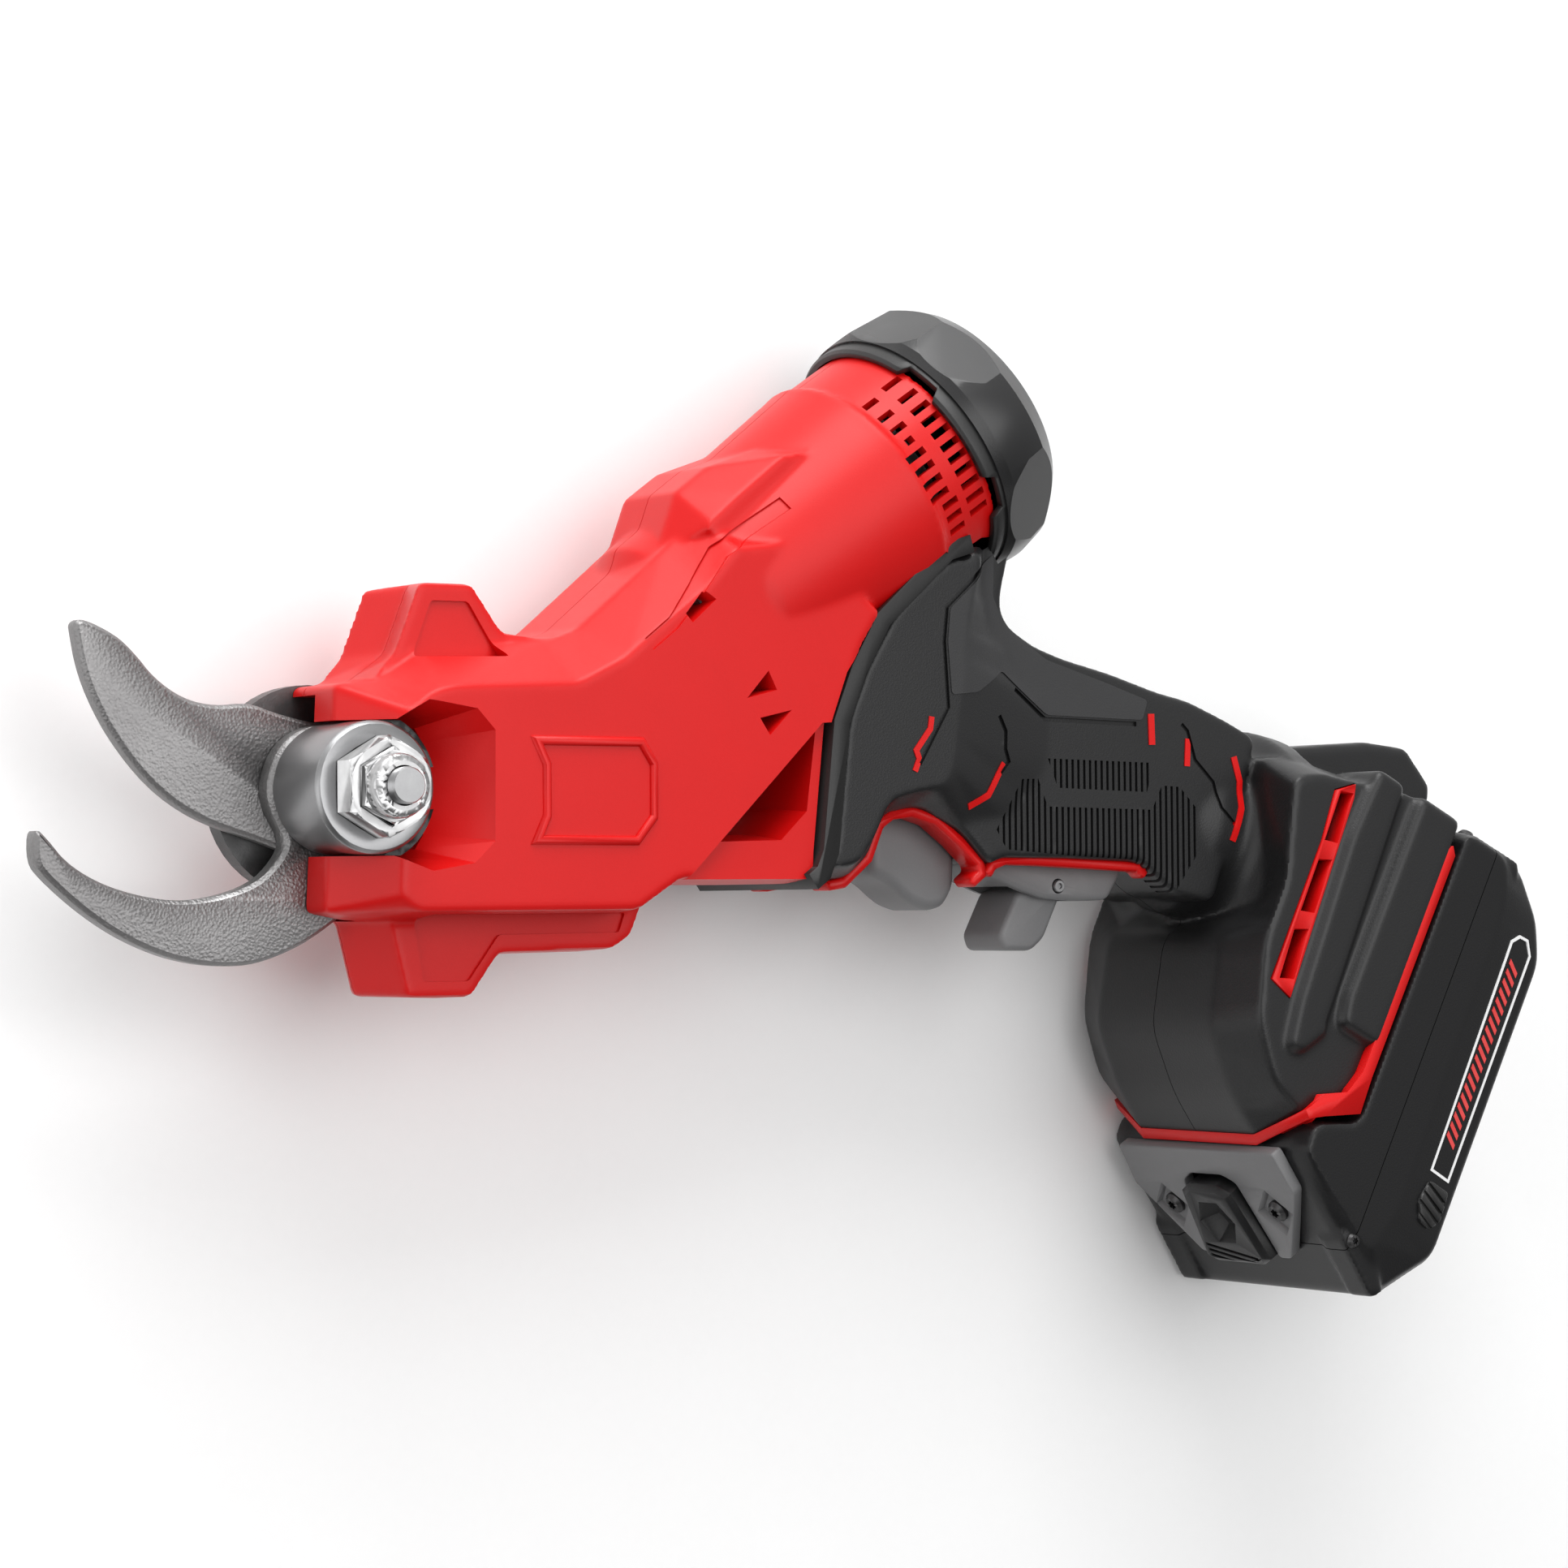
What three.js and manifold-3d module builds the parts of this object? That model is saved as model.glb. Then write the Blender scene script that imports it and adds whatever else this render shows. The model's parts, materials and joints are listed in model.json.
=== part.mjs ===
// Battery electric pruner, as an assembly of named pieces.
// Units are millimetres. While it is designed, the blade pivot is the origin, +X runs back towards the
// battery, +Y towards the top of the tool and +Z out of its left side. The finished tool lies on its right side.
import * as THREE from "three";
import { mergeVertices } from "three/addons/utils/BufferGeometryUtils.js";
import Module from "manifold-3d";

const wasm = await Module();
wasm.setup();

// ---------------------------------------------------------------- driving dimensions
const GAP = 0.3; // clearance between pieces that touch
const WALL = 2.6; // moulded wall
const HEAD_HALF_WIDTH = 26;
const FIN_HALF_WIDTH = 13;
const HANDLE_HALF_WIDTH = 19.5;
const FOOT_HALF_WIDTH = 37;
const EAR_HALF_WIDTH = 15;
const PACK_HALF_WIDTH = 38;

const BLADE = 4.8; // blade thickness
const BOLT_R = 4;
const BUSH_R = 7;
const SLEEVE_R = 14.3;
const SLEEVE_TOP = 26;

const GEAR_MODULE = 1.125;
const SECTOR_TEETH = 48;
const PINION_TEETH = 16;
const PINION_X = ((SECTOR_TEETH + PINION_TEETH) * GEAR_MODULE) / 2; // 36 mm from the pivot
const GEAR_LOW = -10;
const GEAR_HIGH = -BLADE - 0.5;

const CROWN_TEETH = 36;
const CROWN_PINION_TEETH = 16;
const CROWN_PINION_R = 7;
const CROWN_R = (CROWN_PINION_R * CROWN_TEETH) / CROWN_PINION_TEETH;

const PLANET_MODULE = 0.8;
const SUN_TEETH = 12;
const PLANET_TEETH = 18;
const RING_TEETH = SUN_TEETH + 2 * PLANET_TEETH;
const STAGE_START = 64; // planet stage, measured along the barrel from the drive pinion
const STAGE_LENGTH = 8;

const BARREL_TILT = THREE.MathUtils.degToRad(33.5);
const BARREL_R = 29.6;
const BARREL_START = 46;
const CAP_R = 32.6;
const CAP_START = 142;
const CAP_END = 168;
const MOTOR_R = 23;
const MOTOR_START = 80;
const MOTOR_END = 132;

const PACK_TILT = THREE.MathUtils.degToRad(27); // the battery leans back from square by this much
const PACK_ORIGIN = new THREE.Vector2(292, -15); // rear top corner of the joint between foot and battery
const PACK_BASE = 38; // depth of the battery under the foot
const RAIL_RISE = 12;
const CELL_R = 9;
const CELL_LENGTH = 65;
const CELL_PITCH = 18.6;

// ---------------------------------------------------------------- materials
const paint = (color, roughness, metalness = 0) => new THREE.MeshStandardMaterial({ color, roughness, metalness });
const RED = paint(0xc4161c, 0.45);
const BLACK = paint(0x1c1d1f, 0.6);
const GRIP = paint(0x2a2b2d, 0.8);
const GREY = paint(0x6a6c6e, 0.6);
const BLASTED = paint(0x8f9092, 0.5, 0.9);
const SATIN = paint(0xb4b6b8, 0.3, 1);
const DARK_STEEL = paint(0x55585b, 0.4, 0.9);
const BRONZE = paint(0xa9803e, 0.4, 0.9);
const BOARD = paint(0x1f5a34, 0.6);
const CELL = paint(0x2f6fa8, 0.5);
const CAST = paint(0x9a9da0, 0.5, 0.8);

// ---------------------------------------------------------------- solids
// A closed geometry as a manifold solid.
function solid(geometry) {
  const bare = geometry.clone();
  bare.deleteAttribute("normal");
  bare.deleteAttribute("uv");
  const merged = mergeVertices(bare, 1e-4);
  return new wasm.Manifold(
    new wasm.Mesh({
      numProp: 3,
      vertProperties: new Float32Array(merged.attributes.position.array),
      triVerts: new Uint32Array(merged.index.array),
    }),
  );
}

const join = (...solids) => solids.reduce((a, b) => a.add(b));
const cut = (a, ...tools) => tools.reduce((left, tool) => left.subtract(tool), a);
const common = (a, b) => a.intersect(b);

const pruner = new THREE.Group();

// Adds a solid to the tool as one named piece.
function piece(name, shape, material) {
  const made = shape.getMesh();
  const geometry = new THREE.BufferGeometry();
  geometry.setAttribute("position", new THREE.BufferAttribute(new Float32Array(made.vertProperties), 3));
  geometry.setIndex(new THREE.BufferAttribute(new Uint32Array(made.triVerts), 1));
  geometry.computeVertexNormals();
  const mesh = new THREE.Mesh(geometry, material);
  mesh.name = name;
  pruner.add(mesh);
}

// A flat outline between two heights, with chamfered rims when chamfer is set and inset all round by inset.
function slab(points, low, high, { chamfer = 0, inset = 0 } = {}) {
  const shape = new THREE.Shape(points.map(([x, y]) => new THREE.Vector2(x, y)));
  const geometry = new THREE.ExtrudeGeometry(shape, {
    depth: high - low - 2 * chamfer,
    bevelEnabled: chamfer > 0 || inset > 0,
    bevelThickness: chamfer,
    bevelSize: chamfer,
    bevelOffset: -chamfer - inset,
    bevelSegments: 1,
    curveSegments: 12,
  });
  geometry.translate(0, 0, low + chamfer);
  return solid(geometry);
}

// A body that is the same on both sides of the mid-plane.
const twoSided = (points, half, options) => slab(points, -half, half, options);

// A box between two corners.
function box(x0, x1, y0, y1, z0, z1) {
  const geometry = new THREE.BoxGeometry(x1 - x0, y1 - y0, z1 - z0);
  geometry.translate((x0 + x1) / 2, (y0 + y1) / 2, (z0 + z1) / 2);
  return solid(geometry);
}

// A turned piece: points are [radius, height], and its axis is Z.
function turned(points, segments = 32) {
  const profile = points.map(([r, h]) => new THREE.Vector2(r, h));
  const geometry = new THREE.LatheGeometry(profile, segments);
  geometry.rotateX(Math.PI / 2);
  return solid(geometry);
}

const rod = (r, low, high, segments = 24) => turned([[0, low], [r, low], [r, high], [0, high]], segments);
const tube = (inner, outer, low, high, segments = 32) =>
  turned([[inner, low], [outer, low], [outer, high], [inner, high], [inner, low]], segments);

const shift = (shape, x, y, z = 0) => shape.translate([x, y, z]);
const turn = (shape, degrees) => shape.rotate([0, 0, degrees]);

// Stands a solid that was made along Z on the barrel's axis, with its height measured from the drive pinion.
function alongBarrel(shape) {
  const tilt = THREE.MathUtils.radToDeg(BARREL_TILT);
  return shape.rotate([0, 90, 0]).rotate([0, 0, tilt]).translate([PINION_X, 0, 0]);
}

// Battery coordinates: p runs down the slide, q runs out through the battery's base.
function packPoint(p, q) {
  const x = PACK_ORIGIN.x - p * Math.sin(PACK_TILT) + q * Math.cos(PACK_TILT);
  const y = PACK_ORIGIN.y - p * Math.cos(PACK_TILT) - q * Math.sin(PACK_TILT);
  return [x, y];
}
const packOutline = (points) => points.map(([p, q]) => packPoint(p, q));
const packBox = (p0, p1, q0, q1, z0, z1) => slab(packOutline([[p0, q0], [p0, q1], [p1, q1], [p1, q0]]), z0, z1);

// The angle from +X, in degrees, of a direction in battery coordinates.
function packHeading(p, q) {
  const [x, y] = packPoint(p, q);
  return THREE.MathUtils.radToDeg(Math.atan2(y - PACK_ORIGIN.y, x - PACK_ORIGIN.x));
}

// A gear's outline: straight-sided teeth, a little thin so that they run free. A tooth points along +X when
// phase is 0, and a space does when phase is one half.
function gearOutline(teeth, module, { phase = 0, first = 0, count = teeth, internal = false } = {}) {
  const pitch = (teeth * module) / 2;
  const tip = pitch + (internal ? -0.8 : 0.8) * module;
  const root = pitch + (internal ? 1.05 : -1.05) * module;
  const step = (2 * Math.PI) / teeth;
  const points = [];
  for (let i = 0; i < count; i++) {
    const middle = (first + i + phase) * step;
    const corners = [[root, -0.28], [tip, -0.13], [tip, 0.13], [root, 0.28]];
    for (const [r, share] of corners) {
      const angle = middle + share * step;
      points.push([r * Math.cos(angle), r * Math.sin(angle)]);
    }
  }
  return points;
}

// ---------------------------------------------------------------- outlines (X, Y), all counter-clockwise
const FIXED_BLADE = [
  [-68.4, -8], [-68.4, -15.5], [-65.9, -18.9], [-58.1, -25.5], [-49.4, -31.1], [-40.1, -35.1], [-32, -37.1],
  [-24.6, -37.8], [-17.7, -37.3], [-10.2, -34.9], [-3, -31.4], [8, -23.5], [20, -14], [20, 13], [9, 15], [-4, 14.5],
  [-11.5, 10], [-15, 2], [-14.4, -4], [-10, -10.9], [-12.2, -15.3], [-17.6, -20.3], [-28, -23.3], [-37.5, -23.8],
  [-46.8, -22.2], [-54.8, -19.5], [-61.4, -15.5], [-65.2, -11],
];
const MOVING_BLADE = [
  [-57.2, 34.8], [-56.9, 32.6], [-55.5, 25.4], [-52.6, 18.2], [-48, 10.4], [-41.3, 2.4], [-34.7, -3], [-26.6, -7.3],
  [-14.3, -11], [-5, -14.6], [6, -14], [13.5, -7.5], [15.3, 1], [12, 9.6], [5, 14.4], [-1.5, 14.6], [-9.9, 16.5],
  [-16.8, 18.8], [-24.3, 17.8], [-31.8, 19.2], [-38.5, 23.4], [-43.2, 28.8], [-47.5, 32.5], [-55.1, 35.8],
];
const HEAD = [
  [-6.3, -26.5], [3, -28.2], [65, -27.5], [76.7, -20.5], [112.3, -20.5], [115.3, -13.7], [118.4, 15.8], [125.3, 32.9],
  [131, 41.6], [100, 68], [84, 60], [79.6, 54.6], [56.5, 35.6], [48, 32.5], [15, 29.5], [7, 23.7], [-3.7, 22.3],
];
const FINS = [
  [2, -29.5], [8, -45], [30, -45.5], [37.5, -36], [66, -35.5], [72, -31.5], [78, -19], [100, 20], [112, 74],
  [104.7, 78], [92.6, 73.5], [84.2, 67.4], [81.8, 57.8], [79.6, 54.6], [56.5, 35.6], [48, 34], [38.5, 35],
  [31, 45.5], [22, 45.5], [15.7, 29.7], [7, 23.7], [1, 18],
];
const BELLY_WINDOW = [[89, -9.8], [103.5, -9.8], [109.8, -3.5], [112.3, 10.5], [94.5, -3.2]];
const HANDLE = [
  [112.8, -20], [125, -19.8], [138, -17.6], [166, -17], [210, -16.6], [222, -24], [232, -26], [246, 14], [236, 18.5],
  [228.3, 22.8], [221, 24.6], [206.3, 28.9], [193, 31.9], [184, 34.8], [176.8, 38.9], [174.7, 42.5], [175.3, 46.8],
  [180, 58], [150, 57], [131.3, 42], [125.7, 33], [118.8, 16], [115.7, -13.5],
];
const FOOT = [
  [226, -22], [222, -56], [230, -72], [241, -83.7], [246.5, -75.6], [260.6, -75.6], [291.6, -14.6], [291, -3],
  [280, 3], [250, 10], [236, 9],
];
const FOOT_EAR = [
  [246, -10], [286, -10], [293, -5], [304, -4], [305, 3], [297, 12.5], [284, 14], [262, 12.5], [246, 10],
];
const TRIGGER = [
  [138.5, -18.5], [144.1, -20.9], [150.9, -25.9], [155.3, -27.3], [159.5, -26.3], [162.6, -21.8], [162.6, -9],
  [158, -4.5], [143, -3], [138.5, -7],
];
const PADDLE = [
  [167.2, -16.5], [171.5, -19.2], [179.5, -22.4], [186.5, -24.6], [197.4, -25.2], [205.5, -25], [210.6, -16.8],
  [210.6, -13.4], [172, -10.4], [168, -12],
];
const TAB = [
  [175.6, -33.2], [177, -36.8], [185.1, -36.9], [188.8, -34], [193.4, -24.8], [193.9, -21.5], [191, -18.6],
  [187.6, -20.4], [181, -23],
];
const TAB_PIN = [190.6, -21.6];

// ---------------------------------------------------------------- blades and their pivot
function addBlades() {
  const pivotHole = rod(BUSH_R + GAP, -40, 40);
  piece("fixed_blade", cut(slab(FIXED_BLADE, 0.15, BLADE + 0.15), pivotHole), BLASTED);
  piece("moving_blade", cut(slab(MOVING_BLADE, -BLADE - 0.15, -0.15), pivotHole), BLASTED);

  const lobe = gearOutline(SECTOR_TEETH, GEAR_MODULE, { first: -8, count: 10 });
  const sector = join(rod(23, GEAR_LOW, GEAR_HIGH, 48), slab([[0, 0], ...lobe], GEAR_LOW, GEAR_HIGH));
  piece("sector_gear", cut(sector, pivotHole), DARK_STEEL);

  piece("pivot_bush", tube(BOLT_R + GAP, BUSH_R, GEAR_LOW, BLADE), BRONZE);
  const shank = join(rod(BOLT_R, -17.8, 40.5), turn(rod(8, -21.5, -16.3, 6), 30));
  piece("pivot_bolt", shank, SATIN);
  piece("thrust_washer", tube(BOLT_R + GAP, 12, -16, GEAR_LOW - GAP), SATIN);
  piece("pivot_sleeve", tube(BOLT_R + GAP, SLEEVE_R, BLADE + 0.45, SLEEVE_TOP, 40), SATIN);
  const shankHole = rod(BOLT_R + GAP, 0, 60);
  piece("hex_collar", cut(turn(rod(10.3, SLEEVE_TOP + GAP, 32.6, 6), 30), shankHole), SATIN);
  piece("lock_nut", cut(turn(rod(8, 32.9, 38.2, 6), 30), shankHole), SATIN);
}

// ---------------------------------------------------------------- gear train
function addGearTrain() {
  const pinion = slab(gearOutline(PINION_TEETH, GEAR_MODULE, { phase: 0.5 }), GEAR_LOW, GEAR_HIGH);
  const shaft = rod(3.2, -20.5, 20.5, 20);
  piece("drive_pinion", shift(join(pinion, shaft), PINION_X, 0), DARK_STEEL);

  // The crown gear faces down onto the pinion that the motor turns.
  const toothLow = CROWN_PINION_R - 0.6;
  let crown = tube(3.5, CROWN_R + 4.5, toothLow + 1.7, 13, 36);
  for (let i = 0; i < CROWN_TEETH; i++) {
    const tooth = box(CROWN_R - 3, CROWN_R + 4, -0.4, 0.4, toothLow, toothLow + 2);
    crown = crown.add(turn(tooth, (360 / CROWN_TEETH) * i));
  }
  const tilt = THREE.MathUtils.radToDeg(BARREL_TILT);
  piece("crown_gear", shift(turn(crown, tilt), PINION_X, 0), BRONZE);
  piece("pinion_bearing_left", shift(tube(3.5, 8, 14, 19, 28), PINION_X, 0), SATIN);
  piece("pinion_bearing_right", shift(tube(3.5, 8, -19, -14, 28), PINION_X, 0), SATIN);

  let crownPinion = rod(CROWN_PINION_R - 1.4, 13.4, 18.2, 24);
  for (let i = 0; i < CROWN_PINION_TEETH; i++) {
    const tooth = box(3, CROWN_PINION_R + 0.3, -0.4, 0.4, 13.6, 17.8);
    crownPinion = crownPinion.add(turn(tooth, (360 / CROWN_PINION_TEETH) * (i + 0.5)));
  }
  const carrierShaft = rod(5, 18, STAGE_START - 4.2, 24);
  piece("crown_pinion", alongBarrel(join(crownPinion, carrierShaft)), DARK_STEEL);
  piece("shaft_bearing_front", alongBarrel(tube(5.3, 11, 27, 32, 28)), SATIN);
  piece("shaft_bearing_rear", alongBarrel(tube(5.3, 11, 50, 55, 28)), SATIN);
  piece("gearbox_case", alongBarrel(gearboxCase()), CAST);
  addPlanetStage();
}

// The case that holds the shaft bearings and the ring gear.
function gearboxCase() {
  const ringR = (RING_TEETH * PLANET_MODULE) / 2 + 3;
  return turned(
    [
      [11.3, 26], [14, 26], [14, 52], [ringR + 3, 58], [ringR + 3, STAGE_START + STAGE_LENGTH + 1],
      [ringR + GAP, STAGE_START + STAGE_LENGTH + 1], [ringR + GAP, 59.5], [11.3, 56], [11.3, 26],
    ],
    36,
  );
}

function addPlanetStage() {
  const low = STAGE_START;
  const high = STAGE_START + STAGE_LENGTH;
  const ringR = (RING_TEETH * PLANET_MODULE) / 2 + 3;
  const centre = ((SUN_TEETH + PLANET_TEETH) * PLANET_MODULE) / 2;
  const bore = slab(gearOutline(RING_TEETH, PLANET_MODULE, { phase: 0.5, internal: true }), low - 1, high + 1);
  piece("ring_gear", alongBarrel(cut(rod(ringR, low, high, 40), bore)), DARK_STEEL);

  let carrier = rod(17, low - 3.9, low - GAP, 32);
  for (let i = 0; i < 3; i++) carrier = carrier.add(turn(shift(rod(2.4, low - 1, high, 14), centre, 0), 120 * i));
  piece("planet_carrier", alongBarrel(carrier), DARK_STEEL);

  for (let i = 0; i < 3; i++) {
    const teeth = slab(gearOutline(PLANET_TEETH, PLANET_MODULE), low, high);
    const planet = cut(teeth, rod(2.7, low - 1, high + 1, 14));
    piece("planet_gear_" + (i + 1), alongBarrel(turn(shift(planet, centre, 0), 120 * i)), SATIN);
  }
  const sun = slab(gearOutline(SUN_TEETH, PLANET_MODULE, { phase: 0.5 }), low, high);
  piece("sun_gear", alongBarrel(cut(sun, rod(2, low - 1, high + 1, 14))), SATIN);
}

// ---------------------------------------------------------------- motor
function addMotor() {
  const shaft = rod(1.7, STAGE_START + 1, CAP_END - 10, 14);
  const core = rod(13, MOTOR_START + 6, MOTOR_END - 6, 28);
  piece("motor_rotor", alongBarrel(join(shaft, core)), DARK_STEEL);
  const can = turned(
    [
      [5, MOTOR_START], [MOTOR_R, MOTOR_START], [MOTOR_R, MOTOR_END], [20.5, MOTOR_END], [20.5, MOTOR_END - 3],
      [15, MOTOR_END - 3], [15, MOTOR_START + 3], [5, MOTOR_START + 3], [5, MOTOR_START],
    ],
    36,
  );
  piece("motor_can", alongBarrel(can), DARK_STEEL);

  let fan = tube(2, 5, MOTOR_END + 2, MOTOR_END + 10, 20);
  fan = fan.add(tube(4.5, 21, MOTOR_END + 8, MOTOR_END + 10, 28));
  for (let i = 0; i < 9; i++) {
    fan = fan.add(turn(box(4, 20, -0.8, 0.8, MOTOR_END + 2, MOTOR_END + 9), 40 * i));
  }
  piece("cooling_fan", alongBarrel(fan), BLACK);
  piece("motor_bearing", alongBarrel(tube(2, 7, CAP_END - 16, CAP_END - 11, 24)), SATIN);

  const cap = turned(
    [
      [CAP_R - 2.6, CAP_START + GAP], [CAP_R, CAP_START + GAP], [CAP_R, CAP_END - 12], [CAP_R - 5, CAP_END - 5],
      [18, CAP_END], [0, CAP_END], [0, CAP_END - 3.2], [16, CAP_END - 3.2], [CAP_R - 8, CAP_END - 8],
      [CAP_R - 2.6, CAP_END - 14], [CAP_R - 2.6, CAP_START + GAP],
    ],
    32,
  );
  piece("motor_end_cap", alongBarrel(cap), BLACK);
}

// ---------------------------------------------------------------- housings
const halfSpace = (side) => (side > 0 ? box(-120, 420, -220, 220, 0.15, 90) : box(-120, 420, -220, 220, -90, -0.15));

function frontBody(inset) {
  const head = twoSided(HEAD, HEAD_HALF_WIDTH - inset, { chamfer: 5, inset });
  const fins = twoSided(FINS, FIN_HALF_WIDTH - inset, { chamfer: 2, inset });
  const barrel = alongBarrel(rod(BARREL_R - inset, BARREL_START + inset, CAP_START + (inset ? 5 : 0), 36));
  return join(head, fins, barrel);
}

function addFrontHousings() {
  const shell = cut(frontBody(0), frontBody(WALL));
  const window = twoSided(BELLY_WINDOW, 60);
  const windowFrame = cut(common(twoSided(BELLY_WINDOW, 60, { inset: -2.4 }), frontBody(0)), window);
  const bladeSlot = box(-30, 9, -40, 20.5, GEAR_HIGH - 0.3, BLADE + 0.45);
  const gearSlot = rod(23.6, GEAR_LOW - 0.4, GEAR_HIGH, 48);
  const sleevePocket = join(rod(SLEEVE_R + 1.2, 0, 40, 40), box(-30, 0, -14.2, 14.2, 0, 40));
  const boltPocket = join(rod(12.8, -40, 0, 32), box(-30, 0, -12, 12, -40, 0));
  const handleSide = halfPlaneBehindHead();
  const whole = cut(join(shell, windowFrame), window, bladeSlot, gearSlot, sleevePocket, boltPocket, handleSide);
  piece("housing_left", common(whole, halfSpace(1)), RED);
  piece("housing_right", common(whole, halfSpace(-1)), RED);
}

// Everything under the barrel that belongs to the handle.
function halfPlaneBehindHead() {
  return twoSided([[112.9, -60], [200, -60], [200, 30], [126, 34.2], [118.8, 16.4], [115.6, -13.6]], 60);
}

function rearBody() {
  const handle = twoSided(HANDLE, HANDLE_HALF_WIDTH, { chamfer: 5 });
  const foot = twoSided(FOOT, FOOT_HALF_WIDTH, { chamfer: 4 });
  return join(handle, foot, twoSided(FOOT_EAR, EAR_HALF_WIDTH, { chamfer: 2 }));
}

// The hollow stays square inside, and far enough from the flanks to leave a wall under the chamfers.
function rearHollow() {
  const handle = twoSided(HANDLE, HANDLE_HALF_WIDTH - 2 * WALL, { inset: WALL });
  const foot = twoSided(FOOT, FOOT_HALF_WIDTH - 2 * WALL, { inset: WALL });
  return join(handle, foot);
}

function addRearHousings() {
  const shell = cut(rearBody(), rearHollow());
  const barrel = alongBarrel(join(rod(BARREL_R + 0.9, 20, 200, 36), rod(CAP_R + 0.9, CAP_START - 1, 200, 36)));
  const headSide = twoSided([[60, -60], [112.6, -60], [112.6, -21], [115.5, -13.5], [118.6, 16], [126, 33.4], [60, 60]], 60);
  const triggerSlot = box(137.5, 163.6, -40, -10, -9.2, 9.2);
  const paddleSlot = box(166.2, 212, -40, -9, -11.4, 11.4);
  const railBay = packBox(3, 100, -RAIL_RISE - 1, 8, -28, 28);
  const whole = cut(shell, barrel, headSide, triggerSlot, paddleSlot, railBay, ventCut(1), ventCut(-1));
  piece("handle_left", common(whole, halfSpace(1)), GRIP);
  piece("handle_right", common(whole, halfSpace(-1)), GRIP);
}

const VENT = [[-8, -38], [-8, -31], [50, -27], [57, -33]];
function ventCut(side) {
  const inner = FOOT_HALF_WIDTH - 8;
  return slab(packOutline(VENT), side > 0 ? inner : -60, side > 0 ? 60 : -inner);
}

// The slotted strip let into each flank of the foot.
function addVents() {
  for (const [name, side] of [["vent_insert_left", 1], ["vent_insert_right", -1]]) {
    const low = FOOT_HALF_WIDTH - 3.2;
    const high = FOOT_HALF_WIDTH - 0.6;
    const outline = packOutline(VENT);
    let strip = slab(outline, side > 0 ? low : -high, side > 0 ? high : -low, { inset: GAP });
    for (const p of [0, 18, 36]) strip = strip.subtract(packBox(p, p + 11, -35 + p / 16, -31 + p / 16, -60, 60));
    piece(name, strip, RED);
  }
}

// ---------------------------------------------------------------- trigger, paddle and electronics
function addControls() {
  piece("trigger", slab(TRIGGER, -8.6, 8.6, { chamfer: 1.5 }), GREY);
  const pinHole = shift(rod(1.8, -40, 40, 16), TAB_PIN[0], TAB_PIN[1]);
  const tabSlot = join(shift(rod(5.4, -8.4, 8.4, 24), TAB_PIN[0], TAB_PIN[1]), box(177.5, 196, -40, -20.6, -8.4, 8.4));
  piece("paddle", cut(slab(PADDLE, -11, 11, { chamfer: 1 }), tabSlot, pinHole), GREY);
  piece("flip_tab", cut(slab(TAB, -8, 8, { chamfer: 1 }), pinHole), GREY);
  piece("tab_pin", shift(rod(1.5, -11.6, 11.6, 16), TAB_PIN[0], TAB_PIN[1]), SATIN);
  piece("switch_module", box(139, 162, 3.5, 20, -7, 7), BLACK);
  piece("control_board", box(172, 226, -6, -4.4, -12, 12), BOARD);
  piece("terminal_block", packBox(8, 30, -26, -16, -20, 20), BLACK);
}

// ---------------------------------------------------------------- battery
const PACK_REAR = -8.6;
const PACK_SIDE = [
  [PACK_REAR, 1.2], [PACK_REAR, 24], [0.5, 34], [10, PACK_BASE], [90, PACK_BASE], [108, 25], [92, -1.5], [85, -12.2],
  [77, -12.2], [71, 1.2],
];
const PACK_SPLIT_Q = 12;
const PACK_CHAMFER = 3.5;
// The latch end of the battery is a sloping face: this is its direction, and the way out of it, as p and q.
const LATCH_FACE = new THREE.Vector2(16, 26.5).normalize();
const LATCH_OUT = new THREE.Vector2(LATCH_FACE.y, -LATCH_FACE.x);
const LATCH_TOP = [86.2, -11.1];

// A plate on the latch face, from one distance along it to another and between two heights above it.
function latchSlab(along0, along1, height0, height1, half, options) {
  const corners = [[along0, height0], [along0, height1], [along1, height1], [along1, height0]];
  const outline = corners.map(([along, height]) => [
    LATCH_TOP[0] + along * LATCH_FACE.x + height * LATCH_OUT.x,
    LATCH_TOP[1] + along * LATCH_FACE.y + height * LATCH_OUT.y,
  ]);
  return slab(packOutline(outline), -half, half, options);
}

function addBattery() {
  const outline = packOutline(PACK_SIDE);
  const body = twoSided(outline, PACK_HALF_WIDTH, { chamfer: PACK_CHAMFER });
  const shell = cut(body, twoSided(outline, PACK_HALF_WIDTH - WALL - 1.6, { inset: WALL }));
  const outer = packBox(-40, 140, PACK_SPLIT_Q + 0.15, 80, -60, 60);
  const inner = packBox(-40, 140, -60, PACK_SPLIT_Q - 0.15, -60, 60);
  const latchBay = latchSlab(4, 27.5, -12, 5, 17);
  const contactBay = packBox(9, 29, -30, 4, -16, 16);
  const rail = packBox(5, 70, -RAIL_RISE, 2.5, -26, 26);
  piece("battery_upper_case", cut(join(common(shell, inner), rail), latchBay, contactBay), BLACK);
  piece("battery_lower_case", cut(common(shell, outer), latchBay), BLACK);

  for (let i = 0; i < 5; i++) {
    const [x, y] = packPoint(3.5 + CELL_R + i * CELL_PITCH, 22.5);
    piece("cell_" + (i + 1), shift(rod(CELL_R, -CELL_LENGTH / 2, CELL_LENGTH / 2, 24), x, y), CELL);
  }
  piece("pack_board", packBox(6, 66, 8, 9.6, -26, 26), BOARD);

  const plate = latchSlab(0, 31, 0.8, 2.8, 30);
  piece("latch_plate", cut(plate, latchSlab(7, 40, 0, 10, 13)), GREY);
  piece("release_button", latchSlab(8, 26.5, -5, 5.5, 12.4, { chamfer: 2 }), BLACK);
}

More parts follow.
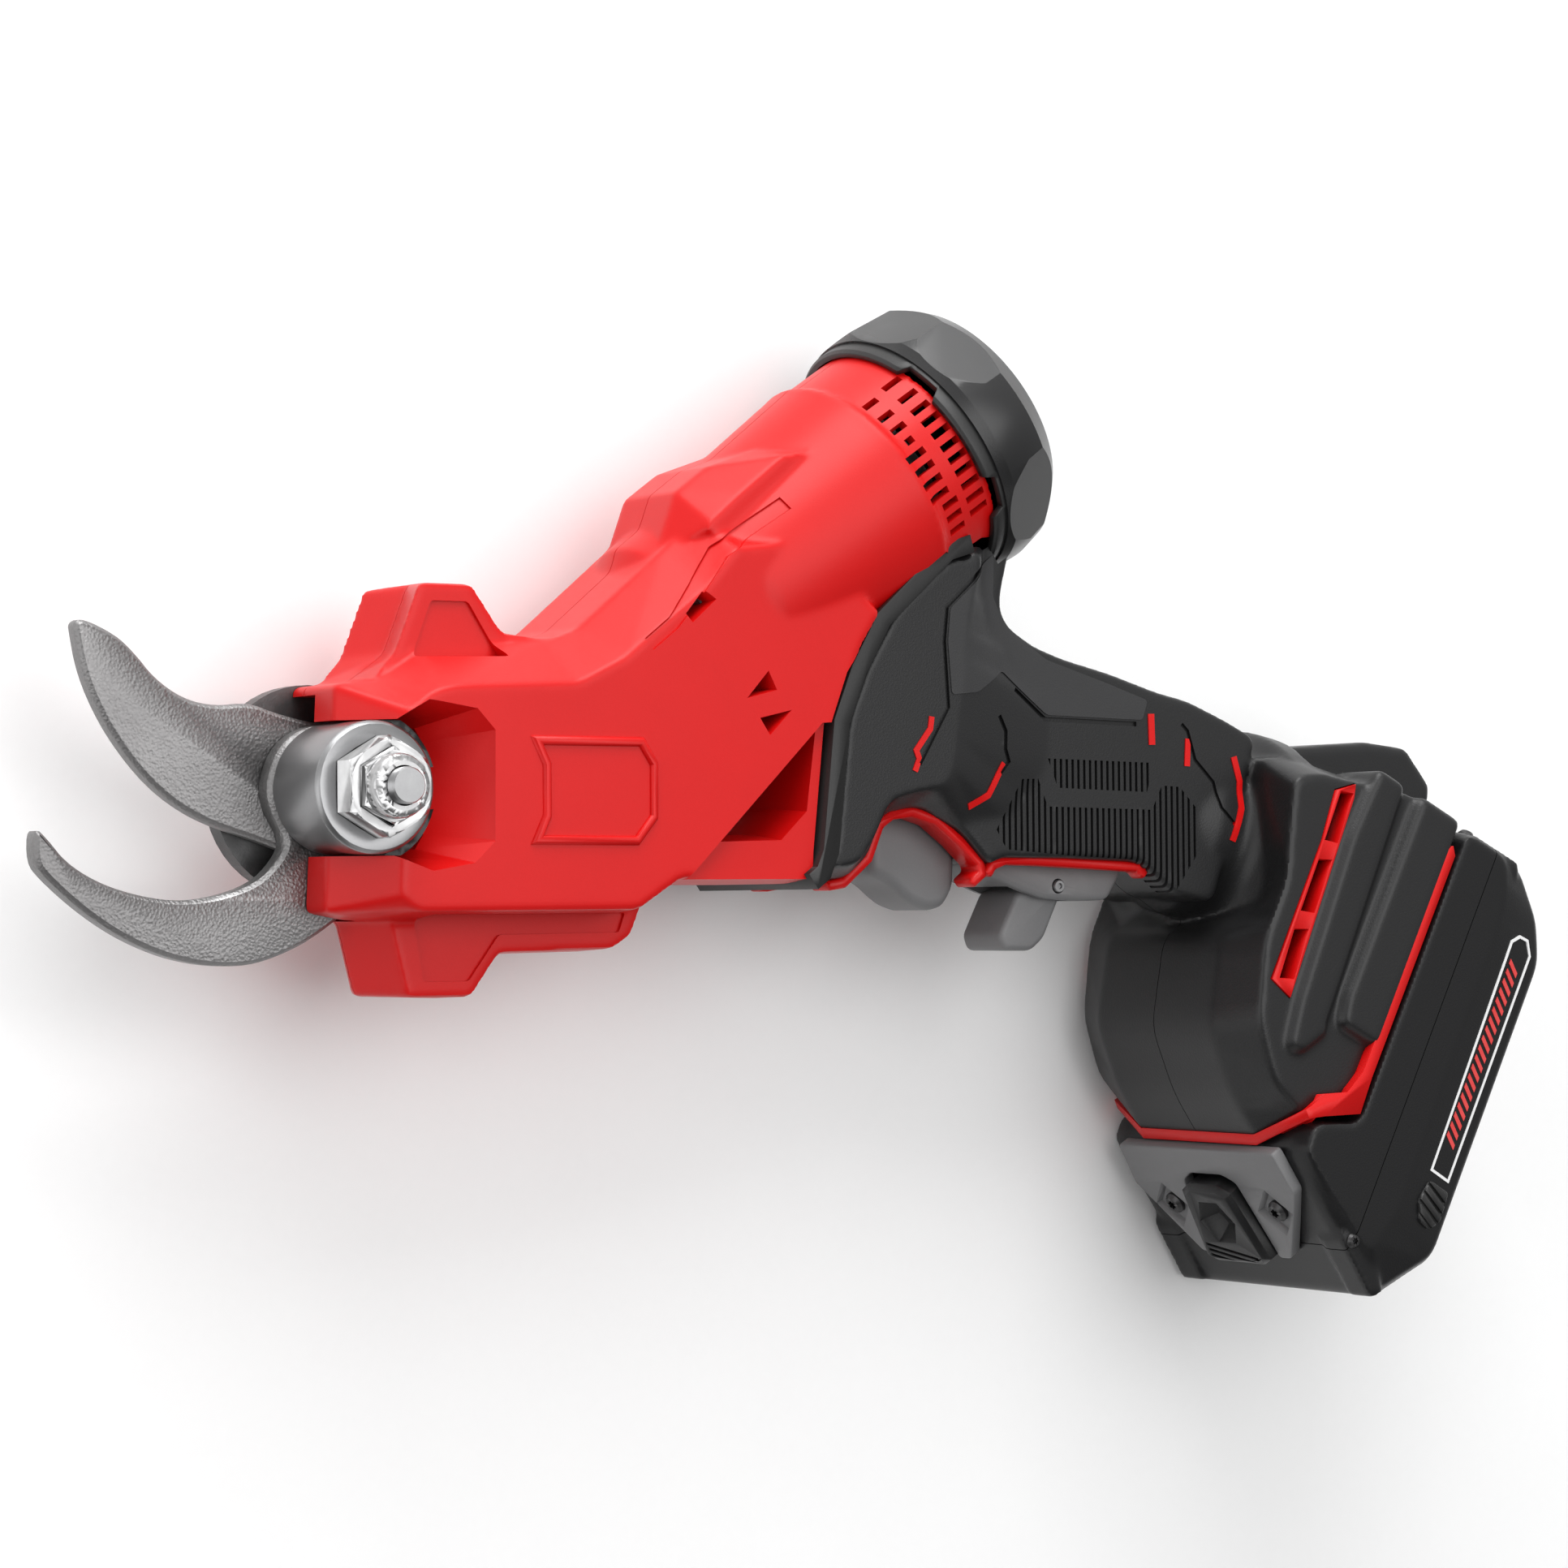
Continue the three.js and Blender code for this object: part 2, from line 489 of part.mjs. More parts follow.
// The rim that seals the foot against the battery. It is open at the front, where the battery slides out.
function addGasket() {
  const rim = packBox(-0.3, 67.5, -0.2, 0.9, -36.3, 36.3);
  piece("foot_gasket", cut(rim, packBox(3.5, 80, -2, 2, -28.5, 28.5)), RED);
}

// Round-headed screws stand in their own pieces, because each one comes out by itself.
function addScrews() {
  const spots = [[52, -20], [56, 25], [106, -15.5], [108, 16]];
  spots.forEach(([x, y], i) => {
    const head = rod(3, -HEAD_HALF_WIDTH - 2.2, -HEAD_HALF_WIDTH - GAP, 16);
    piece("housing_screw_" + (i + 1), shift(head, x, y), DARK_STEEL);
  });
  const along = 15; // down the latch face
  const height = 3.1; // above it, clear of the latch plate
  const latchSpot = packPoint(
    LATCH_TOP[0] + along * LATCH_FACE.x + height * LATCH_OUT.x,
    LATCH_TOP[1] + along * LATCH_FACE.y + height * LATCH_OUT.y,
  );
  const latchHeading = packHeading(LATCH_OUT.x, LATCH_OUT.y);
  for (const [side, z] of [["left", 20], ["right", -20]]) {
    const latchHead = turn(rod(2.8, 0, 1.6, 16).rotate([0, 90, 0]), latchHeading);
    piece("latch_screw_" + side, shift(latchHead, ...latchSpot, z), DARK_STEEL);
    const rearHead = turn(rod(2.1, 0, 1.8, 16).rotate([0, 90, 0]), packHeading(-1, 0));
    piece("pack_screw_" + side, shift(rearHead, ...packPoint(PACK_REAR - GAP, 7), 1.5 * z), DARK_STEEL);
  }
}

addBlades();
addGearTrain();
addMotor();
addFrontHousings();
addRearHousings();
addVents();
addControls();
addGasket();
addBattery();
addScrews();

// The tool lies on its right side: the origin is under the middle of its box.
const bounds = new THREE.Box3().setFromObject(pruner);
const middle = bounds.getCenter(new THREE.Vector3());
pruner.position.set(-middle.x, -middle.y, -bounds.min.z);

export default pruner;
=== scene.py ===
# %% [markdown]
# # A battery pruner in Blender
# The tool is a cordless pruning shear: two steel blades on a pivot stud, a red two-part housing with an
# angled motor barrel, a charcoal grip with a foot, and a slide-on battery. The working model is loaded
# first, as a frame that is never moved. The outer pieces are then modelled again with softer edges and
# finer detail.

import json
import math

import bmesh
import bpy
from mathutils import Matrix, Vector


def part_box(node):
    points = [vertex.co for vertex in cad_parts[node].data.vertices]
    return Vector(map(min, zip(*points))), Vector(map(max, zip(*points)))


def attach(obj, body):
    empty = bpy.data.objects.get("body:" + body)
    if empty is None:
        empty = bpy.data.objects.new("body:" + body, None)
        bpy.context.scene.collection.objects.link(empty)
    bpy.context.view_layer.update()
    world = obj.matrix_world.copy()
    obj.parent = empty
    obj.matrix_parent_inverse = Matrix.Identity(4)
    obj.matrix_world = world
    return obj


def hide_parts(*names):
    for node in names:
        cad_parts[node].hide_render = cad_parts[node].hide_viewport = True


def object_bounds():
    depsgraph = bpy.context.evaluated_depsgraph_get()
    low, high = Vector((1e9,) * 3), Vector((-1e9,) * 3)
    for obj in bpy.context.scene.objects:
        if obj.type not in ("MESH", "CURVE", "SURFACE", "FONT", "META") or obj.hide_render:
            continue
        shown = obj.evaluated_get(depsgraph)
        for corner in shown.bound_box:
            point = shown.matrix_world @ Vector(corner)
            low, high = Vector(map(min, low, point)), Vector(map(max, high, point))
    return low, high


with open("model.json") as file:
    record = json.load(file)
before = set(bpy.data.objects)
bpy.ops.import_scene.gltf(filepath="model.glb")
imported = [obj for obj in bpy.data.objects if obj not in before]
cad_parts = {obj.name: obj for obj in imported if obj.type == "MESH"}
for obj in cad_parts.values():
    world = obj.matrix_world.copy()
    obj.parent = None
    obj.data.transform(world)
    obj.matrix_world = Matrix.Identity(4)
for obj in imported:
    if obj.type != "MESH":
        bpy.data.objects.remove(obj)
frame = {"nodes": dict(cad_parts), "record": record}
cad_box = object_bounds()

# %% [markdown]
# ## Where the tool lies
# Shapes are easiest to describe in the tool's own millimetres: the blade pivot is the origin, X runs back
# to the battery, Y up to the top of the tool, and Z out of its left side. One matrix carries them to the
# frame. It is found from the pivot sleeve and the fixed blade, so that it stays right if the working model
# moves.

# %% Tool millimetres to frame metres
MM = 0.001
BLADE_GAP = 0.15 * MM
sleeve_low, sleeve_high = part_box("pivot_sleeve")
pivot = (sleeve_low + sleeve_high) / 2
pivot.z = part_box("fixed_blade")[0].z - BLADE_GAP
TOOL = Matrix.Translation(pivot) @ Matrix.Scale(MM, 4)
print("pivot", [round(v, 4) for v in pivot])

# %% [markdown]
# ## Workbench helpers
# A moulding is built as a real toolmaker would think of it: plain blocks are drawn from outlines, joined,
# cut, and softened. The helpers below make a block from an outline, a turned piece from a profile, and join
# or cut two solids with a Boolean. All of them work in tool millimetres until a piece is finished.

# %% Outlines
def rounded(points, radius=1.5, steps=3):
    """Rounds the corners of an outline; a point may carry its own radius as a third number."""
    result = []
    count = len(points)
    for i, point in enumerate(points):
        corner = Vector(point[:2])
        size = point[2] if len(point) > 2 else radius
        before = Vector(points[i - 1][:2]) - corner
        after = Vector(points[(i + 1) % count][:2]) - corner
        reach = min(size, 0.4 * before.length, 0.4 * after.length)
        start = corner + before.normalized() * reach
        end = corner + after.normalized() * reach
        for k in range(steps + 1):
            t = k / steps
            result.append(tuple(start.lerp(corner, t).lerp(corner.lerp(end, t), t)))
    return result


def turning(points):
    """1 for an outline that runs anticlockwise, and -1 for a clockwise one."""
    doubled = sum(a[0] * b[1] - b[0] * a[1] for a, b in zip(points, points[1:] + points[:1]))
    return 1 if doubled > 0 else -1


def grown(points, distance):
    """An outline moved outwards by a distance, or inwards when it is negative."""
    result = []
    for i, point in enumerate(points):
        here = Vector(point[:2])
        a = (here - Vector(points[i - 1][:2])).normalized()
        b = (Vector(points[(i + 1) % len(points)][:2]) - here).normalized()
        normal = Vector((a.y + b.y, -a.x - b.x)).normalized()
        share = max(0.35, normal.dot(Vector((a.y, -a.x))))
        result.append(tuple(here + normal * turning(points) * distance / share))
    return result


# %% Blocks from outlines
def as_object(bm):
    mesh = bpy.data.meshes.new("work")
    bm.to_mesh(mesh)
    bm.free()
    obj = bpy.data.objects.new("work", mesh)
    bpy.context.scene.collection.objects.link(obj)
    return obj


def stacked(levels):
    """A closed mesh through (outline, height) levels that all have the same number of points."""
    outline, height = levels[0]
    bm = bmesh.new()
    cap = bm.faces.new([bm.verts.new((x, y, height)) for x, y in outline])
    order = list(cap.verts)
    for i, (outline, height) in enumerate(levels[1:]):
        made = bmesh.ops.extrude_face_region(bm, geom=[cap])["geom"]
        if i:
            bmesh.ops.delete(bm, geom=[cap], context="FACES_ONLY")
        cap = next(item for item in made if isinstance(item, bmesh.types.BMFace))
        fresh = {tuple(v.co): v for v in cap.verts}
        order = [fresh[tuple(v.co)] for v in order]
        for v, (x, y) in zip(order, outline):
            v.co = (x, y, height)
    bmesh.ops.recalc_face_normals(bm, faces=bm.faces[:])
    return bm


def loft(*levels):
    return as_object(stacked(levels))


def slab(outline, low, high, rim=0.0, steps=2):
    """A flat block, with its two rims rounded off when rim is set."""
    bm = stacked([(outline, low), (outline, high)])
    if rim:
        rims = [e for e in bm.edges if abs(e.verts[0].co.z - e.verts[1].co.z) < 1e-5]
        bmesh.ops.bevel(
            bm, geom=rims, offset=rim, offset_type="OFFSET", segments=steps, profile=0.5,
            affect="EDGES", clamp_overlap=True, material=-1,
        )
    return as_object(bm)


def bent_blade(points, width, low, high):
    """A thin blade that follows a bent line, for cutting a panel line or standing up as a bead."""
    centre = [Vector(p) for p in points]
    left, right = [], []
    for i, here in enumerate(centre):
        before = centre[max(i - 1, 0)]
        after = centre[min(i + 1, len(centre) - 1)]
        a = (here - before).normalized() if i else (after - here).normalized()
        b = (after - here).normalized() if i < len(centre) - 1 else a
        normal = Vector((-a.y - b.y, a.x + b.x)).normalized()
        share = max(0.5, normal.dot(Vector((-a.y, a.x))))
        left.append(tuple(here + normal * width / 2 / share))
        right.append(tuple(here - normal * width / 2 / share))
    return slab(left + right[::-1], low, high)


def block(x0, x1, y0, y1, z0, z1, rim=0.0):
    return slab([(x0, y0), (x1, y0), (x1, y1), (x0, y1)], z0, z1, rim)


# %% Turned pieces
def turned(profile, steps=72):
    """Spins a profile of (radius, height) points round the Z axis."""
    bm = bmesh.new()
    points = [bm.verts.new((r, 0, h)) for r, h in profile]
    edges = [bm.edges.new(pair) for pair in zip(points, points[1:])]
    bmesh.ops.spin(
        bm, geom=points + edges, cent=(0, 0, 0), axis=(0, 0, 1), angle=2 * math.pi, steps=steps,
        use_merge=True,
    )
    bmesh.ops.remove_doubles(bm, verts=bm.verts[:], dist=1e-3)
    loose = [e for e in bm.edges if not e.link_faces]
    bmesh.ops.delete(bm, geom=loose, context="EDGES")
    bmesh.ops.recalc_face_normals(bm, faces=bm.faces[:])
    return as_object(bm)


def rod(radius, low, high, steps=48):
    return turned([(0, low), (radius, low), (radius, high), (0, high)], steps)


def moved(obj, x=0.0, y=0.0, z=0.0, spin=0.0):
    obj.data.transform(Matrix.Translation((x, y, z)) @ Matrix.Rotation(math.radians(spin), 4, "Z"))
    return obj


# %% Joining and cutting
def settled(obj, spent=()):
    """Applies an object's modifiers and throws the used-up tools away."""
    bpy.context.view_layer.update()
    graph = bpy.context.evaluated_depsgraph_get()
    mesh = bpy.data.meshes.new_from_object(obj.evaluated_get(graph))
    obj.modifiers.clear()
    obj.data = mesh
    for tool in spent:
        bpy.data.objects.remove(tool)
    return obj


def combined(base, operation, tools):
    for tool in tools:
        step = base.modifiers.new("step", "BOOLEAN")
        step.operation = operation
        step.object = tool
        step.solver = "MANIFOLD"
    return settled(base, tools)


def join(base, *tools):
    return combined(base, "UNION", tools)


def cut(base, *tools):
    return combined(base, "DIFFERENCE", tools)


def common(base, *tools):
    return combined(base, "INTERSECT", tools)


def mirrored(obj):
    """Turns a piece into its mirror image through the tool's mid-plane."""
    obj.data.transform(Matrix.Scale(-1, 4, (0, 0, 1)))
    obj.data.flip_normals()
    return obj


def twin(obj, flip=False):
    """A copy, or the mirror image through the tool's mid-plane."""
    copy = obj.copy()
    copy.data = obj.data.copy()
    bpy.context.scene.collection.objects.link(copy)
    return mirrored(copy) if flip else copy


def pair(obj):
    return [obj, twin(obj, flip=True)]


def moulded(obj, voxel=0.8, rounds=4):
    """Melts a joined solid into one even skin with small soft edges, as a moulding has."""
    skin = obj.modifiers.new("skin", "REMESH")
    skin.mode = "VOXEL"
    skin.voxel_size = voxel
    relax = obj.modifiers.new("relax", "SMOOTH")
    relax.factor = 0.5
    relax.iterations = rounds
    return settled(obj)


def swollen(obj, amount):
    """A copy whose skin has moved out by an amount, or in when it is negative."""
    copy = twin(obj)
    push = copy.modifiers.new("push", "DISPLACE")
    push.strength = amount
    push.mid_level = 0.0
    return settled(copy)


def engraved(obj, tools, depth):
    """Cuts tools into a skin to one even depth, whatever the skin's curve, on both sides of the tool."""
    floor_skin = swollen(obj, -depth)
    shallow = [cut(tool, twin(floor_skin)) for tool in tools]
    bpy.data.objects.remove(floor_skin)
    return cut(obj, *[part for tool in shallow for part in pair(tool)])


def one_side(obj, side, gap=0.12):
    """The left (1) or right (-1) half of a moulding."""
    low, high = (gap, 120) if side > 0 else (-120, -gap)
    return common(twin(obj), block(-150, 450, -250, 250, low, high))


# %% [markdown]
# ## Finishing a piece
# A finished piece gets small bevels on its crisp edges, because no moulded or machined edge is perfectly
# sharp and the highlights on them are what makes a render look real. It then moves to its place in the
# frame, rides on a body of the working model, and stands for the plain piece that it replaces.

# %% Finishing helper
CRISP_ANGLE = 28
made = []


def finish(obj, name, body, material, stands_for=(), edge=0.0, sharp=32):
    """Bevels, names, places and coats a piece, and gives it its body and the plain pieces it stands for."""
    if edge:
        bevel = obj.modifiers.new("edges", "BEVEL")
        bevel.width = edge
        bevel.segments = 2
        bevel.limit_method = "ANGLE"
        bevel.angle_limit = math.radians(CRISP_ANGLE)
        bevel.harden_normals = True
        settled(obj)
    obj.name = name
    obj.data.name = name
    obj.data.transform(TOOL)
    obj.data.shade_smooth()
    if not edge:
        obj.data.set_sharp_from_angle(angle=math.radians(sharp))
    obj.data.materials.clear()
    obj.data.materials.append(material)
    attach(obj, body)
    if stands_for:
        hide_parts(*stands_for)
    made.append(obj)
    print(name, len(obj.data.polygons), "faces")
    return obj


# %% [markdown]
# ## Surface effects shared by the finishes
# Three effects come back in many finishes, so each is a node group that is built once. Grain is the fine
# texture that a mould or a bead blaster leaves. Wear lightens the raised edges that hands and bags rub.
# Handling is the faint, uneven film of dust and skin oil that keeps a used surface from looking like glass.

# %% Node group helpers
def new_group(name, inputs, outputs):
    group = bpy.data.node_groups.new(name, "ShaderNodeTree")
    for label, value in inputs:
        socket = group.interface.new_socket(label, in_out="INPUT", socket_type="NodeSocketFloat")
        socket.default_value = value
    for label in outputs:
        group.interface.new_socket(label, in_out="OUTPUT", socket_type="NodeSocketFloat")
    return group, group.nodes.new("NodeGroupInput"), group.nodes.new("NodeGroupOutput")


def add(tree, kind, **settings):
    node = tree.nodes.new(kind)
    for key, value in settings.items():
        if key in node.inputs:
            node.inputs[key].default_value = value
        else:
            setattr(node, key, value)
    return node


def maths(tree, operation, a, b=None, clamp=False):
    node = add(tree, "ShaderNodeMath", operation=operation, use_clamp=clamp)
    for socket, value in zip(node.inputs, (a, b)):
        if value is None:
            continue
        if isinstance(value, (int, float)):
            socket.default_value = value
        else:
            tree.links.new(value, socket)
    return node.outputs[0]


# %% Grain
grain, inside, outside = new_group(
    "grain", [("Size per metre", 1800.0), ("Softness", 0.5)], ["Height", "Mask"]
)
coords = add(grain, "ShaderNodeTexCoord").outputs["Object"]
fine = add(grain, "ShaderNodeTexNoise", Detail=3.0)
cells = add(grain, "ShaderNodeTexVoronoi", feature="SMOOTH_F1")
for texture in (fine, cells):
    grain.links.new(coords, texture.inputs["Vector"])
    grain.links.new(inside.outputs["Size per metre"], texture.inputs["Scale"])
grain.links.new(inside.outputs["Softness"], cells.inputs["Smoothness"])
grain.links.new(maths(grain, "ADD", fine.outputs["Fac"], cells.outputs["Distance"]), outside.inputs["Height"])
grain.links.new(fine.outputs["Fac"], outside.inputs["Mask"])

# %% Wear
wear, inside, outside = new_group("edge wear", [("Start", 0.53), ("Strength", 6.0)], ["Mask"])
point = add(wear, "ShaderNodeNewGeometry").outputs["Pointiness"]
lift = maths(wear, "SUBTRACT", point, inside.outputs["Start"])
edge_mask = maths(wear, "MULTIPLY", lift, inside.outputs["Strength"], clamp=True)
breakup = add(wear, "ShaderNodeTexNoise", Scale=220.0, Detail=4.0)
wear.links.new(add(wear, "ShaderNodeTexCoord").outputs["Object"], breakup.inputs["Vector"])
wear.links.new(maths(wear, "MULTIPLY", edge_mask, breakup.outputs["Fac"]), outside.inputs["Mask"])

# %% Handling
handling, inside, outside = new_group("handling", [("Patch size per metre", 28.0)], ["Mask"])
patch = add(handling, "ShaderNodeTexNoise", Detail=6.0, Roughness=0.62)
handling.links.new(add(handling, "ShaderNodeTexCoord").outputs["Object"], patch.inputs["Vector"])
handling.links.new(inside.outputs["Patch size per metre"], patch.inputs["Scale"])
handling.links.new(patch.outputs["Fac"], outside.inputs["Mask"])

# %% [markdown]
# ## The finishes
# One recipe covers every finish: a base colour that shifts a little with the handling film and lightens on
# worn edges, a roughness that the same film makes uneven, and a bump from the grain. Each finish only gives
# its own colours, gloss and grain. Metals also get a streaked or blasted grain of their own.

# %% Finish recipe
def finish_material(
    name, base, shade, worn, rough=(0.35, 0.5), metal=0.0, grain_size=1800.0, bump=0.06, depth=0.00004,
    coat=0.0, streak=None, wear_strength=5.0, gloss=0.5,
):
    """base and shade are the two tones of the surface, and worn is the tone of its rubbed edges."""
    material = bpy.data.materials.new(name)
    material.use_nodes = True
    tree = material.node_tree
    shader = tree.nodes["Principled BSDF"]
    shader.inputs["Metallic"].default_value = metal
    shader.inputs["Coat Weight"].default_value = coat
    shader.inputs["Specular IOR Level"].default_value = gloss
    shader.inputs["Coat Roughness"].default_value = 0.12

    film = add(tree, "ShaderNodeGroup", node_tree=handling)
    texture = add(tree, "ShaderNodeGroup", node_tree=grain)
    texture.inputs["Size per metre"].default_value = grain_size
    rubbed = add(tree, "ShaderNodeGroup", node_tree=wear)
    rubbed.inputs["Strength"].default_value = wear_strength

    tones = add(tree, "ShaderNodeMix", data_type="RGBA")
    tones.inputs[6].default_value = (*base, 1)
    tones.inputs[7].default_value = (*shade, 1)
    mixed = maths(tree, "MULTIPLY", film.outputs["Mask"], maths(tree, "ADD", texture.outputs["Mask"], 0.4))
    tree.links.new(mixed, tones.inputs[0])
    edges = add(tree, "ShaderNodeMix", data_type="RGBA")
    edges.inputs[7].default_value = (*worn, 1)
    tree.links.new(rubbed.outputs["Mask"], edges.inputs[0])
    tree.links.new(tones.outputs[2], edges.inputs[6])
    tree.links.new(edges.outputs[2], shader.inputs["Base Color"])

    spread = add(tree, "ShaderNodeMapRange")
    spread.inputs["To Min"].default_value = rough[0]
    spread.inputs["To Max"].default_value = rough[1]
    tree.links.new(film.outputs["Mask"], spread.inputs["Value"])
    tree.links.new(spread.outputs["Result"], shader.inputs["Roughness"])

    height = texture.outputs["Height"]
    if streak:
        lines = add(tree, "ShaderNodeTexNoise", Scale=1.0, Detail=4.0)
        place = add(tree, "ShaderNodeMapping")
        place.inputs["Scale"].default_value = streak
        tree.links.new(add(tree, "ShaderNodeTexCoord").outputs["Object"], place.inputs["Vector"])
        tree.links.new(place.outputs["Vector"], lines.inputs["Vector"])
        height = maths(tree, "ADD", maths(tree, "MULTIPLY", height, 0.25), lines.outputs["Fac"])
    relief = add(tree, "ShaderNodeBump", Strength=bump, Distance=depth)
    tree.links.new(height, relief.inputs["Height"])
    tree.links.new(relief.outputs["Normal"], shader.inputs["Normal"])
    return material


# %% Plastics and rubber
red_plastic = finish_material(
    "red moulded plastic", (0.62, 0.0035, 0.0035), (0.52, 0.0025, 0.0025), (0.70, 0.02, 0.016),
    rough=(0.32, 0.44), bump=0.25, grain_size=2600.0, gloss=0.3,
)
grip_rubber = finish_material(
    "charcoal overmould", (0.012, 0.012, 0.0125), (0.008, 0.008, 0.0085), (0.04, 0.04, 0.04),
    rough=(0.34, 0.44), gloss=0.4, bump=0.5, grain_size=2200.0,
)
black_plastic = finish_material(
    "black moulded plastic", (0.007, 0.007, 0.0075), (0.0045, 0.0045, 0.005), (0.03, 0.03, 0.03),
    rough=(0.30, 0.42), gloss=0.35, bump=0.4, grain_size=2400.0,
)
cap_plastic = finish_material(
    "satin cap plastic", (0.013, 0.013, 0.0135), (0.009, 0.009, 0.0095), (0.05, 0.05, 0.05),
    rough=(0.25, 0.29), bump=0.12, grain_size=2400.0,
)
soft_rubber = finish_material(
    "soft grey rubber", (0.030, 0.030, 0.031), (0.022, 0.022, 0.023), (0.06, 0.06, 0.06), rough=(0.52, 0.62),
    bump=0.6, grain_size=2600.0, gloss=0.4,
)
bead_black = finish_material(
    "black seal", (0.013, 0.013, 0.013), (0.009, 0.009, 0.009), (0.03, 0.03, 0.03), rough=(0.38, 0.5),
    bump=0.3,
)
grey_plastic = finish_material(
    "grey moulded plastic", (0.165, 0.165, 0.168), (0.125, 0.125, 0.128), (0.26, 0.26, 0.26),
    rough=(0.42, 0.56), bump=0.4, grain_size=2400.0,
)
white_print = finish_material(
    "white print", (0.85, 0.85, 0.85), (0.78, 0.78, 0.78), (0.9, 0.9, 0.9), rough=(0.4, 0.5), bump=0.1,
)
red_print = finish_material(
    "red print", (0.70, 0.03, 0.025), (0.6, 0.02, 0.02), (0.8, 0.1, 0.1), rough=(0.4, 0.5), bump=0.1,
)

# %% Metals
blasted_steel = finish_material(
    "blasted steel", (0.30, 0.295, 0.295), (0.17, 0.165, 0.165), (0.62, 0.62, 0.62), rough=(0.40, 0.52),
    metal=0.9, grain_size=1500.0, bump=0.9, depth=0.00012,
)
satin_steel = finish_material(
    "satin steel", (0.34, 0.34, 0.345), (0.27, 0.27, 0.275), (0.6, 0.6, 0.6), rough=(0.26, 0.36), metal=1.0,
    bump=0.3, streak=(400, 400, 9000),
)
turned_steel = finish_material(
    "bright turned steel", (0.33, 0.33, 0.335), (0.27, 0.27, 0.275), (0.6, 0.6, 0.6), rough=(0.30, 0.40),
    metal=1.0, bump=0.25, streak=(300, 300, 12000),
)
black_steel = finish_material(
    "blackened steel", (0.055, 0.054, 0.055), (0.035, 0.034, 0.035), (0.25, 0.25, 0.25), rough=(0.34, 0.46),
    metal=0.9, bump=0.4, grain_size=2000.0,
)
bronze = finish_material(
    "sintered bronze", (0.45, 0.29, 0.12), (0.34, 0.21, 0.08), (0.6, 0.42, 0.2), rough=(0.34, 0.46),
    metal=1.0, bump=0.5,
)
cast_alloy = finish_material(
    "cast alloy", (0.42, 0.43, 0.44), (0.34, 0.35, 0.36), (0.6, 0.6, 0.6), rough=(0.42, 0.56), metal=0.9,
    bump=0.7,
)
circuit_board = finish_material(
    "solder mask", (0.02, 0.13, 0.05), (0.012, 0.09, 0.035), (0.1, 0.3, 0.15), rough=(0.3, 0.4), bump=0.2,
)
cell_wrap = finish_material(
    "cell wrap", (0.04, 0.17, 0.40), (0.03, 0.13, 0.32), (0.1, 0.3, 0.5), rough=(0.2, 0.3), coat=0.4,
    bump=0.1,
)

# %% [markdown]
# ## Pieces that keep their working shape
# The gears, bearings, motor and cells are hidden or already the right shape. They only need a better
# finish. The motor can is given blackened steel as painted shade, for the dark inside of the barrel
# behind the cooling slots.

# %% Finishes for the carried-over pieces
kept_finishes = {
    "red_plastic": red_plastic, "black_plastic": black_plastic, "grip_rubber": grip_rubber,
    "grey_plastic": grey_plastic, "blasted_steel": blasted_steel, "satin_steel": satin_steel,
    "dark_steel": black_steel, "bronze": bronze, "cast_alloy": cast_alloy, "circuit_board": circuit_board,
    "cell_wrap": cell_wrap,
}
for entry in frame["record"]["subparts"]:
    node = frame["nodes"][entry["node"]]
    if not node.data.materials:
        node.data.materials.append(None)
    # The motor can's blackened steel is painted shade for the dark inside the barrel behind the cooling
    # slots.
    coating = black_steel if entry["node"] == "motor_can" else kept_finishes[entry["material_slot"]]
    for place in node.material_slots:
        place.material = coating

# %% [markdown]
# ## The red housing
# Two moulded shells meet on the mid-plane. The real ones flow from a flat-sided head into a round barrel
# with soft blends, which is hard to model face by face. So the solid blocks are joined first and then
# melted into one even skin, and the crisp recesses are cut last, so that they stay sharp.

# %% Barrel axis
BARREL_TILT = 33.5
pinion_low, pinion_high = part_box("drive_pinion")
barrel_x = ((pinion_low.x + pinion_high.x) / 2 - pivot.x) / MM
BARREL = (
    Matrix.Translation((barrel_x, 0, 0))
    @ Matrix.Rotation(math.radians(BARREL_TILT), 4, "Z")
    @ Matrix.Rotation(math.radians(90), 4, "Y")
)


def on_barrel(obj):
    """Lays a piece that was made along Z on the barrel axis."""
    obj.data.transform(BARREL)
    return obj


print("barrel starts", round(barrel_x, 2), "mm behind the pivot")

# %% Head and fins
HEAD_HALF = 26
HEAD_RIM_HALF = 14
FIN_HALF = 13
HEAD_RIM = [
    (-6.3, -26.5), (3, -28.2), (65, -27.5), (76.7, -20.8), (112.6, -20.8), (115.3, -13.7), (118.4, 15.8),
    (125.3, 32.9), (131, 41.6), (112, 62), (88, 62), (80, 55), (56.5, 35.6), (48, 32.5), (17, 29.5),
    (8, 23.7), (-3.7, 22.3),
]
HEAD_FLANK = [
    (6, -23), (10.5, -26.4), (65, -26.2), (76, -19.4), (112.2, -19.4), (114.8, -13.2), (117.6, 15.8),
    (124.5, 32.9), (130, 41), (106, 56), (91, 54), (83, 45), (62, 29), (50, 23.2), (19, 21.8), (14, 20.6),
    (8, 16),
]
TOP_FIN_MID = [
    (7, 18), (7, 23.7), (15.7, 29.7), (22, 45.5), (31, 45.5), (38.5, 35), (48, 34), (58, 35.6), (62, 20)
]
TOP_FIN_SIDE = [
    (7, 18), (6, 23), (11.5, 29.5), (17.6, 44.8), (30.6, 44.8), (38.2, 34.4), (48, 33.4), (58, 34), (62, 20)
]
LOW_FIN_MID = [
    (1, -19), (3.4, -27.7), (7.8, -44.6), (30, -45.5), (37.4, -36), (66, -35.6), (71.6, -32.4), (78, -19),
]
